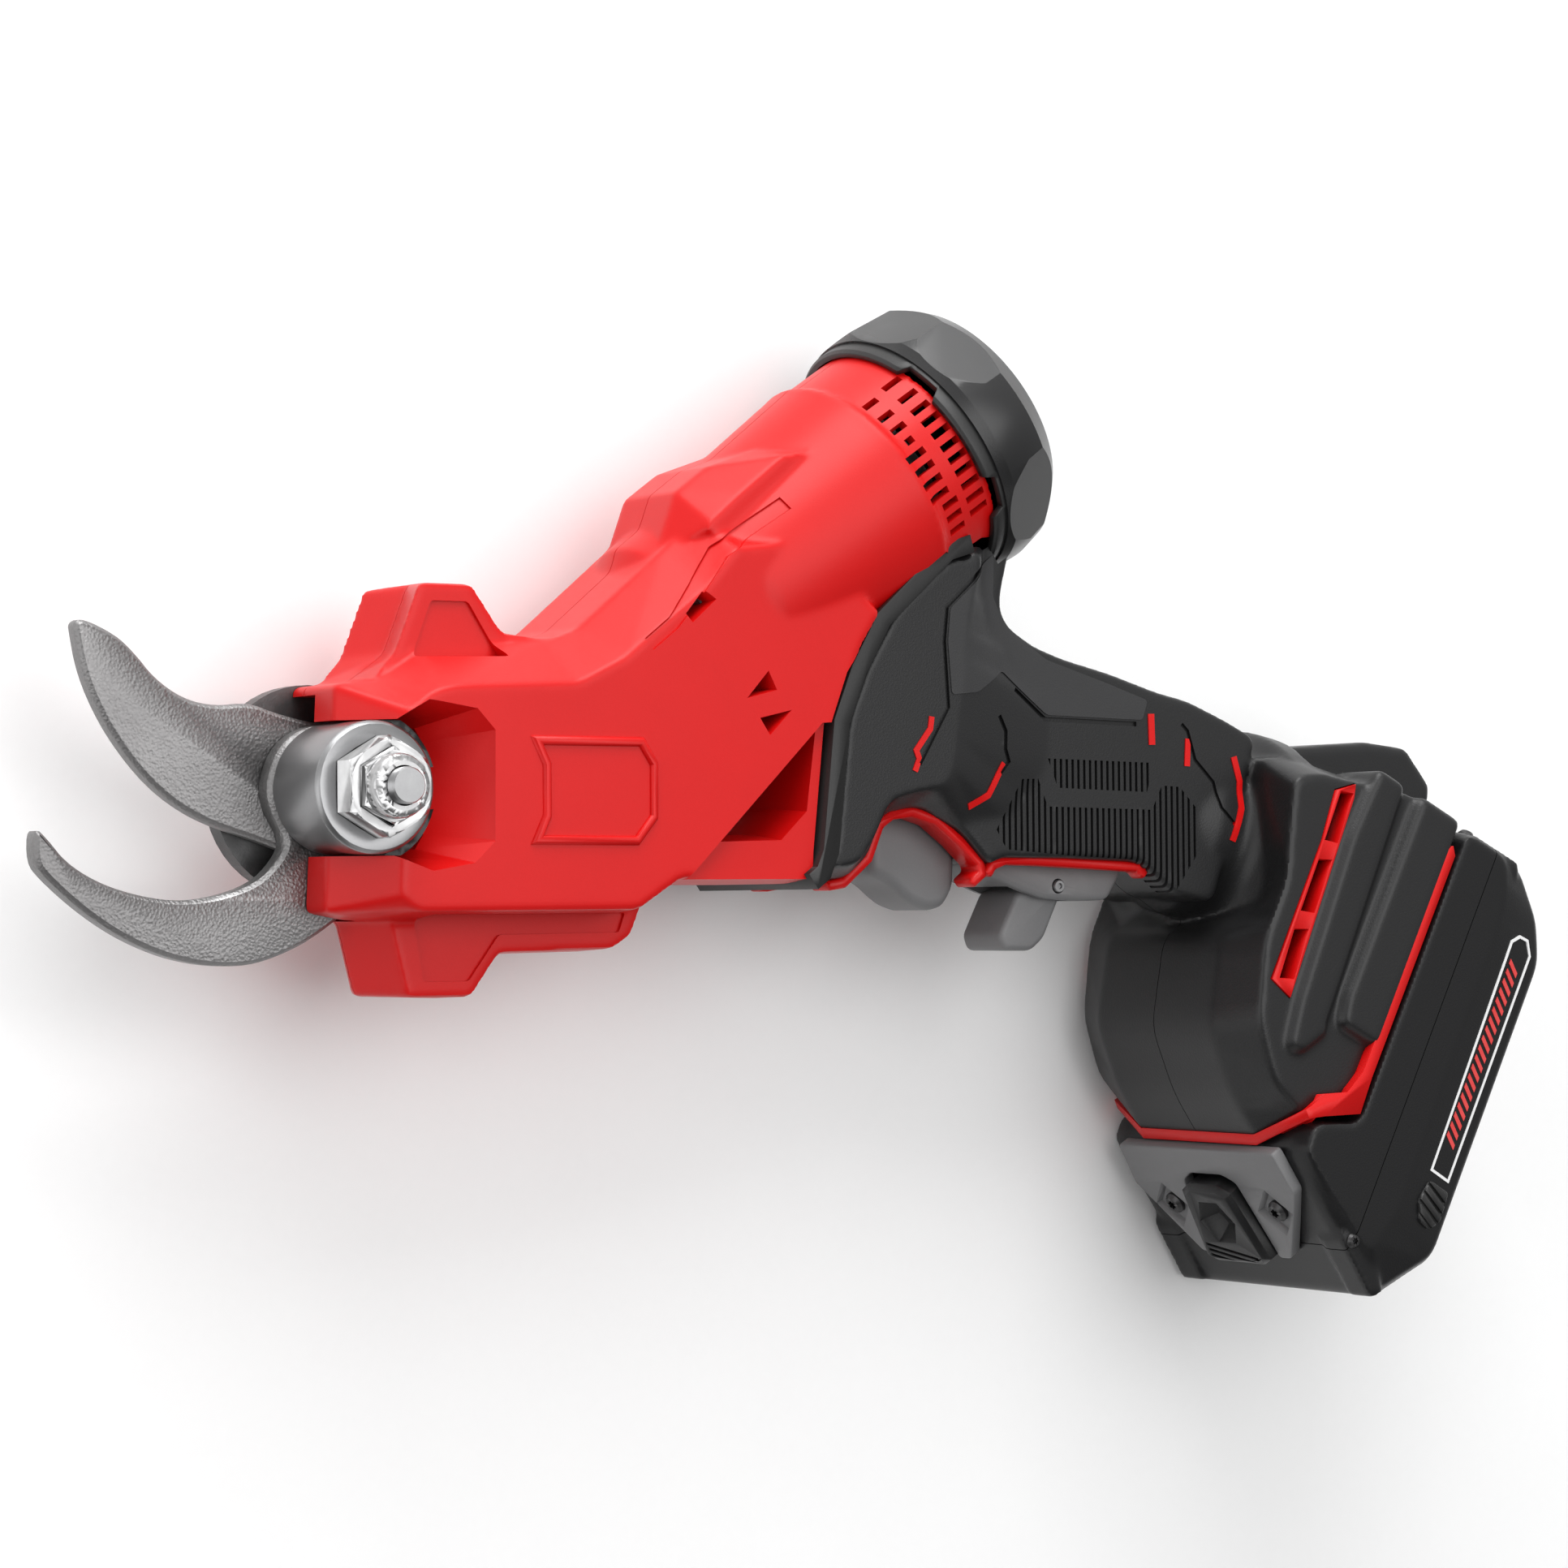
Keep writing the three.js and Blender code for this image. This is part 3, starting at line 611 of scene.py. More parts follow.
LOW_FIN_SIDE = [
    (8, -19), (10, -27.7), (14.4, -45), (29.8, -45), (37, -35.4), (65.6, -35), (70.6, -32), (76, -19),
]
head_low, head_high = rounded(HEAD_RIM, 1.2), rounded(HEAD_FLANK, 1.2)
body = loft(
    (head_high, -HEAD_HALF), (head_low, -HEAD_RIM_HALF), (head_low, HEAD_RIM_HALF), (head_high, HEAD_HALF)
)
for middle, side in ((TOP_FIN_MID, TOP_FIN_SIDE), (LOW_FIN_MID, LOW_FIN_SIDE)):
    middle, side = rounded(middle, 1.4), rounded(side, 1.4)
    body = join(body, loft((side, -FIN_HALF), (middle, 0), (side, FIN_HALF)))
print("head block", len(body.data.polygons), "faces")

# %% [markdown]
# ### Barrel and its bump
# The barrel widens slowly from its slim neck, because the motor behind it is fatter than the gears in
# front. A profile of radius against distance along the axis is all that it needs. The bump on top covers
# the gearbox, and is narrower at its two flanks than in the middle.

# %% Barrel and bump
BARREL_R = 29.4
BARREL_END = 142
BARREL_PROFILE = [
    (0, 42), (12, 42), (18.6, 48), (19.3, 56), (21.4, 59.6), (24.2, 63), (24.8, 73), (26.6, 79),
    (30.3, 122.4), (30.6, 124), (30.2, 124.9), (BARREL_R, 125.6), (BARREL_R, BARREL_END), (0, BARREL_END),
]
barrel = on_barrel(turned(BARREL_PROFILE, 96))
BUMP = [(79, 53.6), (84.2, 67.4), (92.6, 73.5), (105.5, 78), (121, 80), (100, 45)]
BUMP_SIDE = [(87, 58.6), (87.8, 60.2), (96.3, 67.3), (107.5, 76), (119, 78), (100, 50)]
bump = loft((BUMP_SIDE, -20.5), (BUMP, -11), (BUMP, 11), (BUMP_SIDE, 20.5))
body = join(body, barrel, bump)
body = moulded(body, 0.75, 5)
print("housing skin", len(body.data.polygons), "faces")

# %% [markdown]
# ### Recesses in the housing
# The sleeve sits in an eight-sided dish with sloping walls that opens to the front. The strut behind the
# head is set back a little from the flank and has a tapered window. The fins carry sunken panels, the flank
# three small triangular vents, and the barrel two rows of cooling slots.

# %% Dish, window and strut
DISH_FLOOR = [
    (-60, 14.5), (-60, -14.5), (6, -14.5), (11, -14.6), (15, -13), (17, -10), (17, 10), (15, 13),
    (11, 14.6), (6, 14.5),
]
DISH_MOUTH = [
    (-60, 14.5), (-60, -14.5), (4.6, -14.5), (13.5, -17.8), (23.9, -16.1), (28.9, -11.4), (29.1, 12.6),
    (24.7, 17.2), (13, 19), (4.8, 14.6),
]
dish = loft((DISH_FLOOR, 5.3), (DISH_FLOOR, 15), (DISH_MOUTH, 26.2), (DISH_MOUTH, 40))
bolt_dish = twin(dish, flip=True)
blade_slot = block(-60, 14, -28.4, 20.3, -10.4, 5.4)
gear_slot = rod(23.8, -10.6, -5.1, 64)
STEP_BACK = [(113.6, 15.4), (76, -21.2), (76, -40), (130, -40), (130, 16.5)]
strut_steps = pair(slab(STEP_BACK, 22.8, 60))
WINDOW = [(88.5, -9.8), (103, -9.6), (109.6, -3.8), (112.4, 11.5), (95, -3)]
WINDOW_MOUTH = [(86, -11.6), (104.4, -11.2), (111.4, -4.6), (114, 14.6), (93.4, -3.4)]
window = loft((WINDOW_MOUTH, -24), (WINDOW, -12), (WINDOW, 12), (WINDOW_MOUTH, 24))
body = cut(body, dish, bolt_dish, blade_slot, gear_slot, *strut_steps, window)
print("dish and window cut")

# %% Panels and triangular vents
TOP_PANEL = [(20.4, 41), (29.6, 41), (37.4, 29), (15.6, 28.6)]
LOW_PANEL = [(15.4, -27), (18, -41.6), (29.2, -41.6), (36.8, -31.6), (67.4, -31.4), (69, -27)]
VENT_A = [(82.5, 45.3), (86.4, 42.8), (78.8, 36.3), (76.7, 38.5)]
VENT_B = [(99.4, 27.6), (102.1, 22.4), (92.4, 20.0)]
VENT_C = [(106.3, 18.7), (99.2, 11.7), (96.0, 16.4)]
shallow = []
for outline in (TOP_PANEL, LOW_PANEL):
    shallow += pair(slab(rounded(outline, 0.8), 12.2, 40))
body = cut(body, *shallow)
CHANNEL = [(68, 32), (74.5, 37), (81.6, 45.2), (88, 53.4), (106, 65)]
body = engraved(body, [bent_blade(CHANNEL, 3.2, 8, 45)], 0.55)
deep = []
for outline in (VENT_A, VENT_B, VENT_C):
    centre = sum((Vector(corner) for corner in outline), Vector((0, 0))) / len(outline)
    small = [tuple(Vector(corner).lerp(centre, 0.35)) for corner in outline]
    deep += pair(loft((small, 16), (small, 24.5), (outline, 27.5), (outline, 45)))
body = cut(body, *deep)
print("panels and vents cut")

# %% Cooling slots round the barrel
slots = []
for middle, length, angles in (
    (137, 5.6, (41, 51, 59, 66, 73, 80, 86.5, 93, 100, 107, 114)), (128.8, 4.4, (43, 52.5, 60.5)),
    (128.8, 2.4, (68,)), (127.4, 6.4, (75, 82, 89, 96)), (129.6, 4.8, (102.5, 109, 116)),
):
    for angle in angles:
        for side in (1, -1):
            slot = block(25, 34, -0.85, 0.85, middle - length / 2, middle + length / 2)
            slots.append(on_barrel(moved(slot, spin=90 + side * angle)))
body = cut(body, *slots)
print("slots", len(slots))

# %% [markdown]
# ### Hollow, gearbox case and halves
# The shells are hollow, with room for the motor and the gears. The barrel's hollow steps with them, so that
# the wall stays thin and even. The cast case of the gearbox is slim in front, where the neck leaves it
# little room, and the skin is then parted on the mid-plane.

# %% Hollow
MOTOR_R = 23
CORE_PROFILE = [
    (0, 40), (14.4, 40), (14.4, 52), (18.2, 57), (18.2, 62.9), (23.1, 62.9), (23.1, 73.4),
    (MOTOR_R + 0.4, 74), (MOTOR_R + 0.4, 116), (26.6, 123), (26.6, 150), (0, 150),
]
core = on_barrel(turned(CORE_PROFILE, 64))
HEAD_CORE = [
    (18, -17), (64, -23), (74, -16.5), (84, -12), (96, 6), (114, 30), (100, 52), (84, 46), (58, 28),
    (24, 18),
]
body = cut(body, core, slab(HEAD_CORE, -12.5, 12.5))
HANDLE_SIDE = [
    (113.4, -60), (220, -60), (220, 66), (163.8, 59.4), (155.6, 54.6), (150.9, 55.4), (133.1, 40.7),
    (122.9, 27), (118.6, 15.8), (115.4, -13.7),
]
below_barrel = slab([(x - 2.5, y) for x, y in HANDLE_SIDE], -60, 60)
body = cut(body, below_barrel)
print("hollowed housing", len(body.data.polygons), "faces")

# %% Gearbox case and housing halves
gearbox = turned(
    [
        (11.3, 26), (14, 26), (14, 52), (17.9, 57), (17.9, 63.3), (22.8, 63.3), (22.8, 73), (22.4, 73),
        (22.4, 63.9), (17.4, 63.9), (17.4, 59.5), (11.3, 56), (11.3, 26),
    ],
    64,
)
finish(on_barrel(gearbox), "gearbox_cast_case", "frame", cast_alloy, ["gearbox_case"], sharp=25)
for side, name in ((1, "left"), (-1, "right")):
    finish(
        one_side(body, side), "housing_shell_" + name, "frame", red_plastic, ["housing_" + name],
    )
bpy.data.objects.remove(body)

# %% [markdown]
# ### The blank badge
# A raised frame with chamfered corners stands on the flank. It is a bevelled outline with its middle cut
# out, and its inside is left blank.

# %% Badge frames
BADGE = [
    (38.2, 11), (41, 5.2), (41, -5.7), (38.1, -11.7), (64.6, -11.8), (69.3, -6.2), (69.4, 5.8), (65.9, 11)
]

for side, name in ((1, "left"), (-1, "right")):
    wide, narrow = grown(BADGE, 0.5), grown(BADGE, -1.6)
    ridge = loft((wide, 25), (wide, 26.1), (grown(BADGE, -0.1), 26.9))
    ridge = cut(ridge, loft((narrow, 20), (narrow, 26.3), (grown(BADGE, -1), 27.2)))
    if side < 0:
        mirrored(ridge)
    finish(ridge, "badge_frame_" + name, "frame", red_plastic, edge=0.12)

# %% [markdown]
# ## Motor cap
# The cap is a thick charcoal cup that slips over the end of the barrel, with flat facets milled across its
# round shape and a darker lip with notches at the front. It is turned first, and the facets are then cut.

# %% Motor cap and its lip
cap = turned(
    [
        (29.9, 143.6), (32.0, 143.6), (33, 146), (33.6, 152), (32.8, 157.5), (28.6, 163), (22, 166.8),
        (14, 168), (0, 168.2), (0, 165), (20, 163), (27, 157), (29.9, 150), (29.9, 143.6),
    ],
    96,
)
facets = []
for angle, reach, tilt in ((16, 31.2, 6), (50, 31.8, 8), (126, 31.2, 7)):
    for side in (1, -1):
        facet = block(0, 30, -40, 40, -30, 30)
        lean = Matrix.Rotation(math.radians(90 + side * angle), 4, "Z")
        facet.data.transform(
            lean @ Matrix.Translation((reach, 0, 152)) @ Matrix.Rotation(math.radians(-tilt), 4, "Y")
        )
        facets.append(facet)
cap = cut(cap, *facets)
finish(on_barrel(cap), "motor_cap", "frame", cap_plastic, ["motor_end_cap"], sharp=16)

lip = turned([(29.7, 139.8), (30.9, 139.8), (31.5, 140.6), (31.5, 145.2), (29.7, 145.2), (29.7, 139.8)], 96)
notches = []
for angle in (50, 111, -50, -111):
    notch = slab([(-6.4, 138), (6.4, 138), (4.2, 142.6), (-4.2, 142.6)], 20, 40)
    upright = Matrix.Rotation(math.radians(90), 4, "Z") @ Matrix.Rotation(math.radians(90), 4, "X")
    notch.data.transform(Matrix.Rotation(math.radians(90 + angle), 4, "Z") @ upright)
    notches.append(notch)
lip = cut(lip, *notches)
finish(on_barrel(lip), "motor_cap_lip", "frame", bead_black, edge=0.2)

# %% [markdown]
# ## Blades
# The lower, hooked blade is fixed and the curved upper one passes behind it. Both are blasted plate with a
# ground bevel along the cutting edge. A loft between a full outline and a drawn-in one gives that bevel.

# %% Blades
FIXED = [
    (-68.4, -8), (-68.6, -15.5), (-65.9, -18.9), (-58.1, -25.5), (-49.4, -31.1), (-40.1, -35.1),
    (-32, -37.1), (-24.6, -37.8), (-17.7, -37.3), (-10.2, -34.9), (-3, -31.4), (8, -23.5), (16, -14),
    (16, 13), (9, 14.2), (-4, 14.2), (-11.5, 10), (-15, 2), (-14.4, -4), (-10, -10.9), (-12.2, -15.3),
    (-17.6, -20.3), (-28, -23.3), (-37.5, -23.8), (-46.8, -22.2), (-54.8, -19.5), (-61.4, -15.5),
    (-65.2, -11),
]
MOVING = [
    (-57.2, 34.8), (-56.9, 32.6), (-55.5, 25.4), (-52.6, 18.2), (-48, 10.4), (-41.3, 2.4), (-34.7, -3),
    (-26.6, -7.3), (-14.3, -11), (-5, -14.4), (6, -14), (13.5, -7.5), (15.3, 1), (12, 9.6), (5, 14.4),
    (-1.5, 14.6), (-9.9, 16.5), (-16.8, 18.8), (-24.3, 17.8), (-31.8, 19.2), (-38.5, 23.4), (-43.2, 28.8),
    (-47.5, 32.5), (-55.1, 35.8),
]


def smooth_outline(points, times=1):
    """Cuts the corners of an outline evenly, so that a few points give a long curve."""
    for _ in range(times):
        finer = []
        for i, point in enumerate(points):
            here, there = Vector(point), Vector(points[(i + 1) % len(points)])
            finer += [tuple(here.lerp(there, 0.25)), tuple(here.lerp(there, 0.75))]
        points = finer
    return points


THICK = 4.8
GAP = 0.15
bore = rod(7.2, -30, 30)
full = smooth_outline(FIXED, 2)
inner = grown(full, -0.9)
fixed = loft((full, GAP), (full, GAP + THICK - 1.1), (inner, GAP + THICK))
fixed = cut(fixed, twin(bore))
finish(fixed, "hook_blade", "frame", blasted_steel, ["fixed_blade"], edge=0.15)

full = smooth_outline(MOVING, 2)
back_edge, cutting_edge = grown(full, -0.8), grown(full, -0.9)
upper = loft((back_edge, -GAP - THICK), (full, -GAP - THICK + 0.9), (full, -1.2), (cutting_edge, -GAP))
upper = cut(upper, bore)
finish(upper, "cutting_blade", "blade", blasted_steel, ["moving_blade"], edge=0.15)

# %% [markdown]
# ## The pivot stack
# A bright turned sleeve, a flanged hex collar and a lock nut with a rounded shoulder sit on the threaded
# stud. The hexagons have the turned 30 degree chamfers that real nuts have, made as the overlap of a
# hexagon and a turned cone. The thread is a stack of small grooves, which reads as a thread at this size.

# %% Sleeve
sleeve = turned(
    [
        (4.4, 5.25), (13.7, 5.25), (14.2, 5.8), (14.2, 24.9), (13.4, 25.9), (9.6, 25.9), (9.2, 25.5),
        (4.4, 25.5), (4.4, 5.25),
    ],
    96,
)
finish(sleeve, "pivot_sleeve_turned", "frame", turned_steel, ["pivot_sleeve"], edge=0.12)


# %% Collar and lock nut
def hexagon(radius):
    corners = [math.radians(30 + 60 * i) for i in range(6)]
    return [(radius * math.cos(a), radius * math.sin(a)) for a in corners]


collar = common(
    slab(hexagon(10.9), 26.1, 32.6),
    turned([(0, 25), (10.9, 25), (10.9, 31.4), (9.6, 32.6), (0, 32.6)], 72),
)
collar = cut(collar, slab(hexagon(8.7), 31.2, 34), rod(4.3, 20, 40))
finish(collar, "hex_collar_chamfered", "frame", satin_steel, ["hex_collar"], edge=0.15)

nut = common(
    slab(hexagon(8.3), 31.3, 34.6),
    turned([(0, 31), (8.3, 31), (8.3, 33.9), (7.5, 34.6), (0, 34.6)], 72),
)
shoulder = turned([(0, 34), (6.9, 34), (6.9, 36.2), (6.3, 37.6), (5.2, 38.2), (0, 38.2)], 72)
nut = cut(join(nut, shoulder), rod(4.3, 20, 44))
finish(nut, "lock_nut_shouldered", "frame", satin_steel, ["lock_nut"], edge=0.15)

# %% Threaded stud
STUD_R = 3.95
THREAD_DEPTH = 0.5
THREAD_START = 31
THREAD_TURNS = 9
profile = [(0, -17), (STUD_R, -17), (STUD_R, THREAD_START)]
for low in range(THREAD_START, THREAD_START + THREAD_TURNS):
    profile += [(STUD_R, low), (STUD_R - THREAD_DEPTH, low + 0.5)]
profile += [(STUD_R, THREAD_START + THREAD_TURNS), (3.6, 40.5), (0, 40.5)]
stud = turned(profile, 48)
head = common(
    slab(hexagon(8), -21.5, -16.3),
    turned([(0, -21.5), (7.2, -21.5), (8, -20.7), (8, -16.3), (0, -16.3)], 72),
)
finish(join(stud, head), "pivot_stud", "frame", satin_steel, ["pivot_bolt"], sharp=25)

# %% [markdown]
# ### Sleeve clip
# A black spring clip grips the sleeve from behind and shows as two dark lips in the dish. It is a tube with
# its front half and a middle gap cut away.

# %% Sleeve clip
clip = cut(
    rod(16.4, 5.4, 22, 64), rod(14.6, 0, 30, 64), block(-30, 3, -30, 30, 0, 30),
    block(-30, 30, -4.5, 4.5, 0, 30),
)
clip = common(clip, slab([(2, -14.4), (11, -14.4), (16.8, -10), (16.8, 10), (11, 14.4), (2, 14.4)], 0, 40))
finish(clip, "sleeve_clip", "frame", bead_black, edge=0.1)

# %% [markdown]
# ## Grip and foot
# The grip is a soft overmould that swells into a wide foot over the battery. It is one flowing surface on
# the real tool, so it is joined from blocks and melted together like the housing, with more smoothing.

# %% Grip and cheeks
GRIP = [
    (112.9, -20.2), (125, -19.8), (131.5, -14.5), (134.8, -6.2), (138.6, -3.6), (145, -3), (152, -5),
    (159, -9.9), (165.5, -16.8), (169, -15), (190, -15.2), (210, -16), (220, -24), (232, -26), (246, 14),
    (236, 18.5), (225, 22.8), (216, 24.6), (201.3, 28.9), (188, 31.9), (179, 34.8), (172, 38.9),
    (169.5, 42.5), (169.6, 47), (172, 56), (172.6, 60), (163, 62), (155, 57), (150, 57), (132, 42),
    (124, 29), (118.8, 16), (115.7, -13.5),
]
CHEEK_FOOT = [
    (112.9, -20.2), (125, -19.8), (131, -14), (135, -5), (146, -3), (160, -10), (178, -8), (190, 4),
    (190, 16), (178, 28), (168, 38), (164.6, 50), (165, 60), (160, 62), (155, 57), (150, 57), (132, 42),
    (124, 29), (118.8, 16), (115.7, -13.5),
]
CHEEK_FACE = [
    (116.5, -17), (124, -16.6), (128.6, -11), (133.5, -1.6), (143, 0.6), (150, 2), (152, 8), (153, 16),
    (154.6, 26), (155, 34), (156, 42), (158, 48), (160, 54), (158, 56), (155.5, 53.6), (151, 53.6),
    (136, 41), (128, 28.4), (122.6, 16), (119, -13),
]
grip = slab(rounded(GRIP, 3), -18.6, 18.6, rim=8.5, steps=4)
cheek_foot, cheek_face = rounded(CHEEK_FOOT, 3), rounded(CHEEK_FACE, 3)
grip = join(grip, loft((cheek_face, -24), (cheek_foot, -17), (cheek_foot, 17), (cheek_face, 24)))
print("grip block", len(grip.data.polygons), "faces")

# %% [markdown]
# ### Foot and neck
# The foot is a deep box over the battery with drawn-in flanks. Where the round handle runs into it, the
# skin flares out like the bell of a trumpet, so the neck is a stack of ovals that widen quickly at the end.

# %% Foot, neck and ear
FOOT_HALF = 35
FOOT_FRONT_HALF = 22
FOOT = [
    (243.2, -27), (231, -34), (227, -56), (233.5, -72), (240.5, -82.2), (243.4, -82), (247, -73.4),
    (259.6, -73.2), (289.6, -14.6), (290.5, -3), (282, 1.6), (252, 9.6), (244.2, 9.2),
]
FOOT_SIDE = [
    (241, -20), (234.6, -34), (232.4, -54), (237, -69), (245, -76), (246.6, -75), (249, -73.4),
    (259.4, -73), (289.4, -14.6), (289, -5), (281, 0), (252, 5), (244, 4),
]
foot_low, foot_high = rounded(FOOT, 4), rounded(FOOT_SIDE, 4)
foot = loft(
    (foot_high, -FOOT_HALF), (foot_low, -FOOT_FRONT_HALF), (foot_low, FOOT_FRONT_HALF), (foot_high, FOOT_HALF)
)


def oval(across, upright, count=64):
    turn = [2 * math.pi * i / count for i in range(count)]
    return [(across * math.cos(a), upright * math.sin(a)) for a in turn]


NECK = (
    (18.4, 20, -14), (19.9, 22.4, -7), (19.9, 22.4, 0), (20.6, 22.7, 1.8), (23, 23.4, 3.6), (27, 24.4, 5),
    (32, 25.6, 6.2), (34.4, 26.2, 7), (34.4, 26.2, 14),
)
neck = loft(*[(oval(across, upright), height) for across, upright, height in NECK])
neck.data.transform(
    Matrix.Translation((240.4, -7.6, 0)) @ Matrix.Rotation(math.radians(-12), 4, "Z")
    @ Matrix.Rotation(math.radians(90), 4, "Y")
)
EAR = [
    (246, -10), (286, -10), (293, -5), (303.6, -4), (304.8, 3), (297, 12.4), (284, 13.8), (262, 12.4),
    (246, 10),
]
ear = slab(rounded(EAR, 1.5), -15, 15, rim=2)
grip = join(grip, foot, neck, ear)

# %% Battery coordinates
PACK_TILT = math.radians(27)
PACK_CORNER = (292, -15)


def pack_point(p, q):
    """p runs down the battery slide from its rear corner, and q out through the battery's base."""
    x = PACK_CORNER[0] - p * math.sin(PACK_TILT) + q * math.cos(PACK_TILT)
    y = PACK_CORNER[1] - p * math.cos(PACK_TILT) - q * math.sin(PACK_TILT)
    return (x, y)


def on_pack(points):
    return [pack_point(p, q) for p, q in points]


# %% Raised features of the foot
FOLD = [(-9, -20.5), (-9, -30), (10, -31), (53, -28), (64, -26), (64, -21.5), (56, -16.4), (54, -17.6)]
PILLOW = [(-9, -15.5), (-9, -1.2), (52.6, -1.2), (52.6, -13.8), (46, -15.6)]
for points, low, high, rim in ((FOLD, 20, 36.9, 1.4), (PILLOW, 20, 37.7, 1.6)):
    grip = join(grip, *pair(slab(rounded(on_pack(points), 2), low, high, rim=rim)))
grip = moulded(grip, 0.8, 6)
print("grip skin", len(grip.data.polygons), "faces")

# %% Cuts in the grip: barrel bed, controls, battery bay
TRIGGER_SLOT = [(137.3, -60), (163.8, -60), (163.8, -3.4), (158, 1.6), (143, 3), (137.3, -1)]
HOUSING_SIDE = [
    (60, -60), (112.6, -60), (113.3, -19.8), (115.2, -13.6), (118.4, 15.8), (123.4, 28), (133, 42.4),
    (150, 57.4), (154, 58), (60, 90),
]
HANDLE_CORE = [(172, -7), (214, -8), (224, 8), (206, 20), (176, 24), (166, 8)]
barrel_bed = on_barrel(turned([(0, 30), (29.9, 30), (29.9, 140), (33.8, 140), (33.8, 200), (0, 200)], 96))
housing_bed = slab(HOUSING_SIDE, -60, 60)
trigger_pocket = slab(TRIGGER_SLOT, -9.3, 9.3)
paddle_pocket = block(166.2, 212.4, -60, -9.6, -11.6, 11.6)
rail_bay = slab(on_pack([(3, -13), (120, -13), (120, 12), (3, 12)]), -28, 28)
board_bay = slab(on_pack([(12, -34), (50, -34), (50, -18), (12, -18)]), -30, 30)
handle_core = slab(HANDLE_CORE, -12, 12)
grip = cut(grip, barrel_bed, housing_bed, trigger_pocket, paddle_pocket, rail_bay, board_bay, handle_core)
print("grip cut", len(grip.data.polygons), "faces")

# %% [markdown]
# ### Ribs and panel lines on the grip
# The ribbed pads are fields of narrow grooves, all in the same direction and at one pitch, with only the
# outline of each pad changing. So one comb of thin blades is made, and the part of it that falls inside a
# pad's outline is what gets cut. The panel lines are thin bent blades.

# %% Ribbed pads
RIB_PITCH = 1.72
RIB_WIDTH = 0.72
PAD_UPPER = [(182.3, 8.4), (185.1, 1.5), (211.7, 0.7), (214, 7.7)]
PAD_LOWER = [
    (174.3, 3.5), (171.6, -0.9), (167.2, -8.4), (170, -13), (188, -14.4), (208.3, -15.4), (211, -19),
    (219.5, -24), (226.5, -14.6), (228.1, -4.5), (221.7, 2), (216.2, 2.3), (213.2, -3.5), (182.1, -2.9),
    (179.4, 3.6),
]


def comb(x0, x1, y0, y1, low, high):
    blades = [
        block(x0 + i * RIB_PITCH, x0 + i * RIB_PITCH + RIB_WIDTH, y0, y1, low, high)
        for i in range(int((x1 - x0) / RIB_PITCH))
    ]
    first, *rest = blades
    return join(first, *rest)


grooves = []
for outline in (PAD_UPPER, PAD_LOWER):
    xs = [x for x, _ in outline]
    teeth = comb(min(xs), max(xs), -30, 12, 12, 30)
    grooves.append(common(teeth, slab(outline, 0, 40)))
grip = engraved(grip, grooves, 0.9)
print("ribs cut")


# %% Panel lines
LINE_FRONT = [(163, 54.5), (149.7, 42.9), (148.8, 34.9), (149.8, 19.7), (141.6, 6.4)]
LINE_MIDDLE = [(166.1, 18.1), (168.2, 14.5), (168.2, 10.3), (169.4, 7.5), (166.8, 4.6)]
LINE_TOP = [(171.6, 24.4), (181.5, 17.6), (208.7, 16.9)]
LINE_REAR = [(222.4, 17.1), (224.2, 15.4), (226.4, 8.5), (231.9, 3.2), (233.6, -3), (237.5, -7)]
lines = []
for points, width in ((LINE_FRONT, 1.1), (LINE_MIDDLE, 1.2), (LINE_TOP, 1.1), (LINE_REAR, 1.0)):
    lines.append(bent_blade(points, width, 10, 40))
grip = engraved(grip, lines, 0.8)
print("panel lines cut")

# %% Vent bays and the two grip shells
VENT_BAY = [(1.7, -39.4), (-2.6, -34.2), (0.9, -33), (53.3, -29.7), (51.6, -37.2), (14.6, -37.8)]
grip = cut(grip, *pair(slab(on_pack(VENT_BAY), 29, 60)))
accent_skin = swollen(grip, 0.3)
BACK_PANEL = [
    (163, 53), (150.6, 42.6), (149.8, 34.9), (150.8, 22.6), (159, 23.4), (167.6, 28.6), (173.4, 24.4),
    (182, 18.6), (210.4, 17.9), (212, 22.6), (200, 26.4), (182, 31.6), (170, 39.6), (166.6, 46), (167, 56),
]
panel = common(slab(rounded(BACK_PANEL, 1), 10, 40), swollen(grip, 0.22))
for piece, name in zip(pair(panel), ("left", "right")):
    finish(piece, "back_panel_" + name, "frame", soft_rubber)
for side, name in ((1, "left"), (-1, "right")):
    finish(
        one_side(grip, side), "grip_shell_" + name, "frame", grip_rubber, ["handle_" + name]
    )
bpy.data.objects.remove(grip)

# %% [markdown]
# ### Red accents
# Slim red inserts pick out the lines of the grip, and a red rim runs over the trigger and the paddle. Each
# is a thin bent blade with rounded edges that stands a little above the skin.

# %% Accents and rims
ACCENTS = {
    "front": ([(145, 17.4), (144.6, 14.6), (140.6, 9.6), (141.4, 7.6), (140.2, 4.8)], 1.4, 40),
    "middle": ([(167.8, 7), (163.4, -0.4), (158, -3.2)], 1.6, 40),
    "rear_upper": ([(213, 19.4), (213.2, 12)], 1.8, 40),
    "rear_lower": ([(224.2, 13.6), (223.8, 7)], 1.6, 40),
    "foot_arc": ([(238.2, 9.4), (240, 3.4), (239.7, -3), (236.8, -11)], 1.7, 22.4),
}
for label, (points, width, highest) in ACCENTS.items():
    strip = common(bent_blade(points, width, 12, highest), twin(accent_skin))
    for piece, name in zip(pair(strip), ("left", "right")):
        finish(piece, "accent_" + label + "_" + name, "frame", red_plastic)
bpy.data.objects.remove(accent_skin)

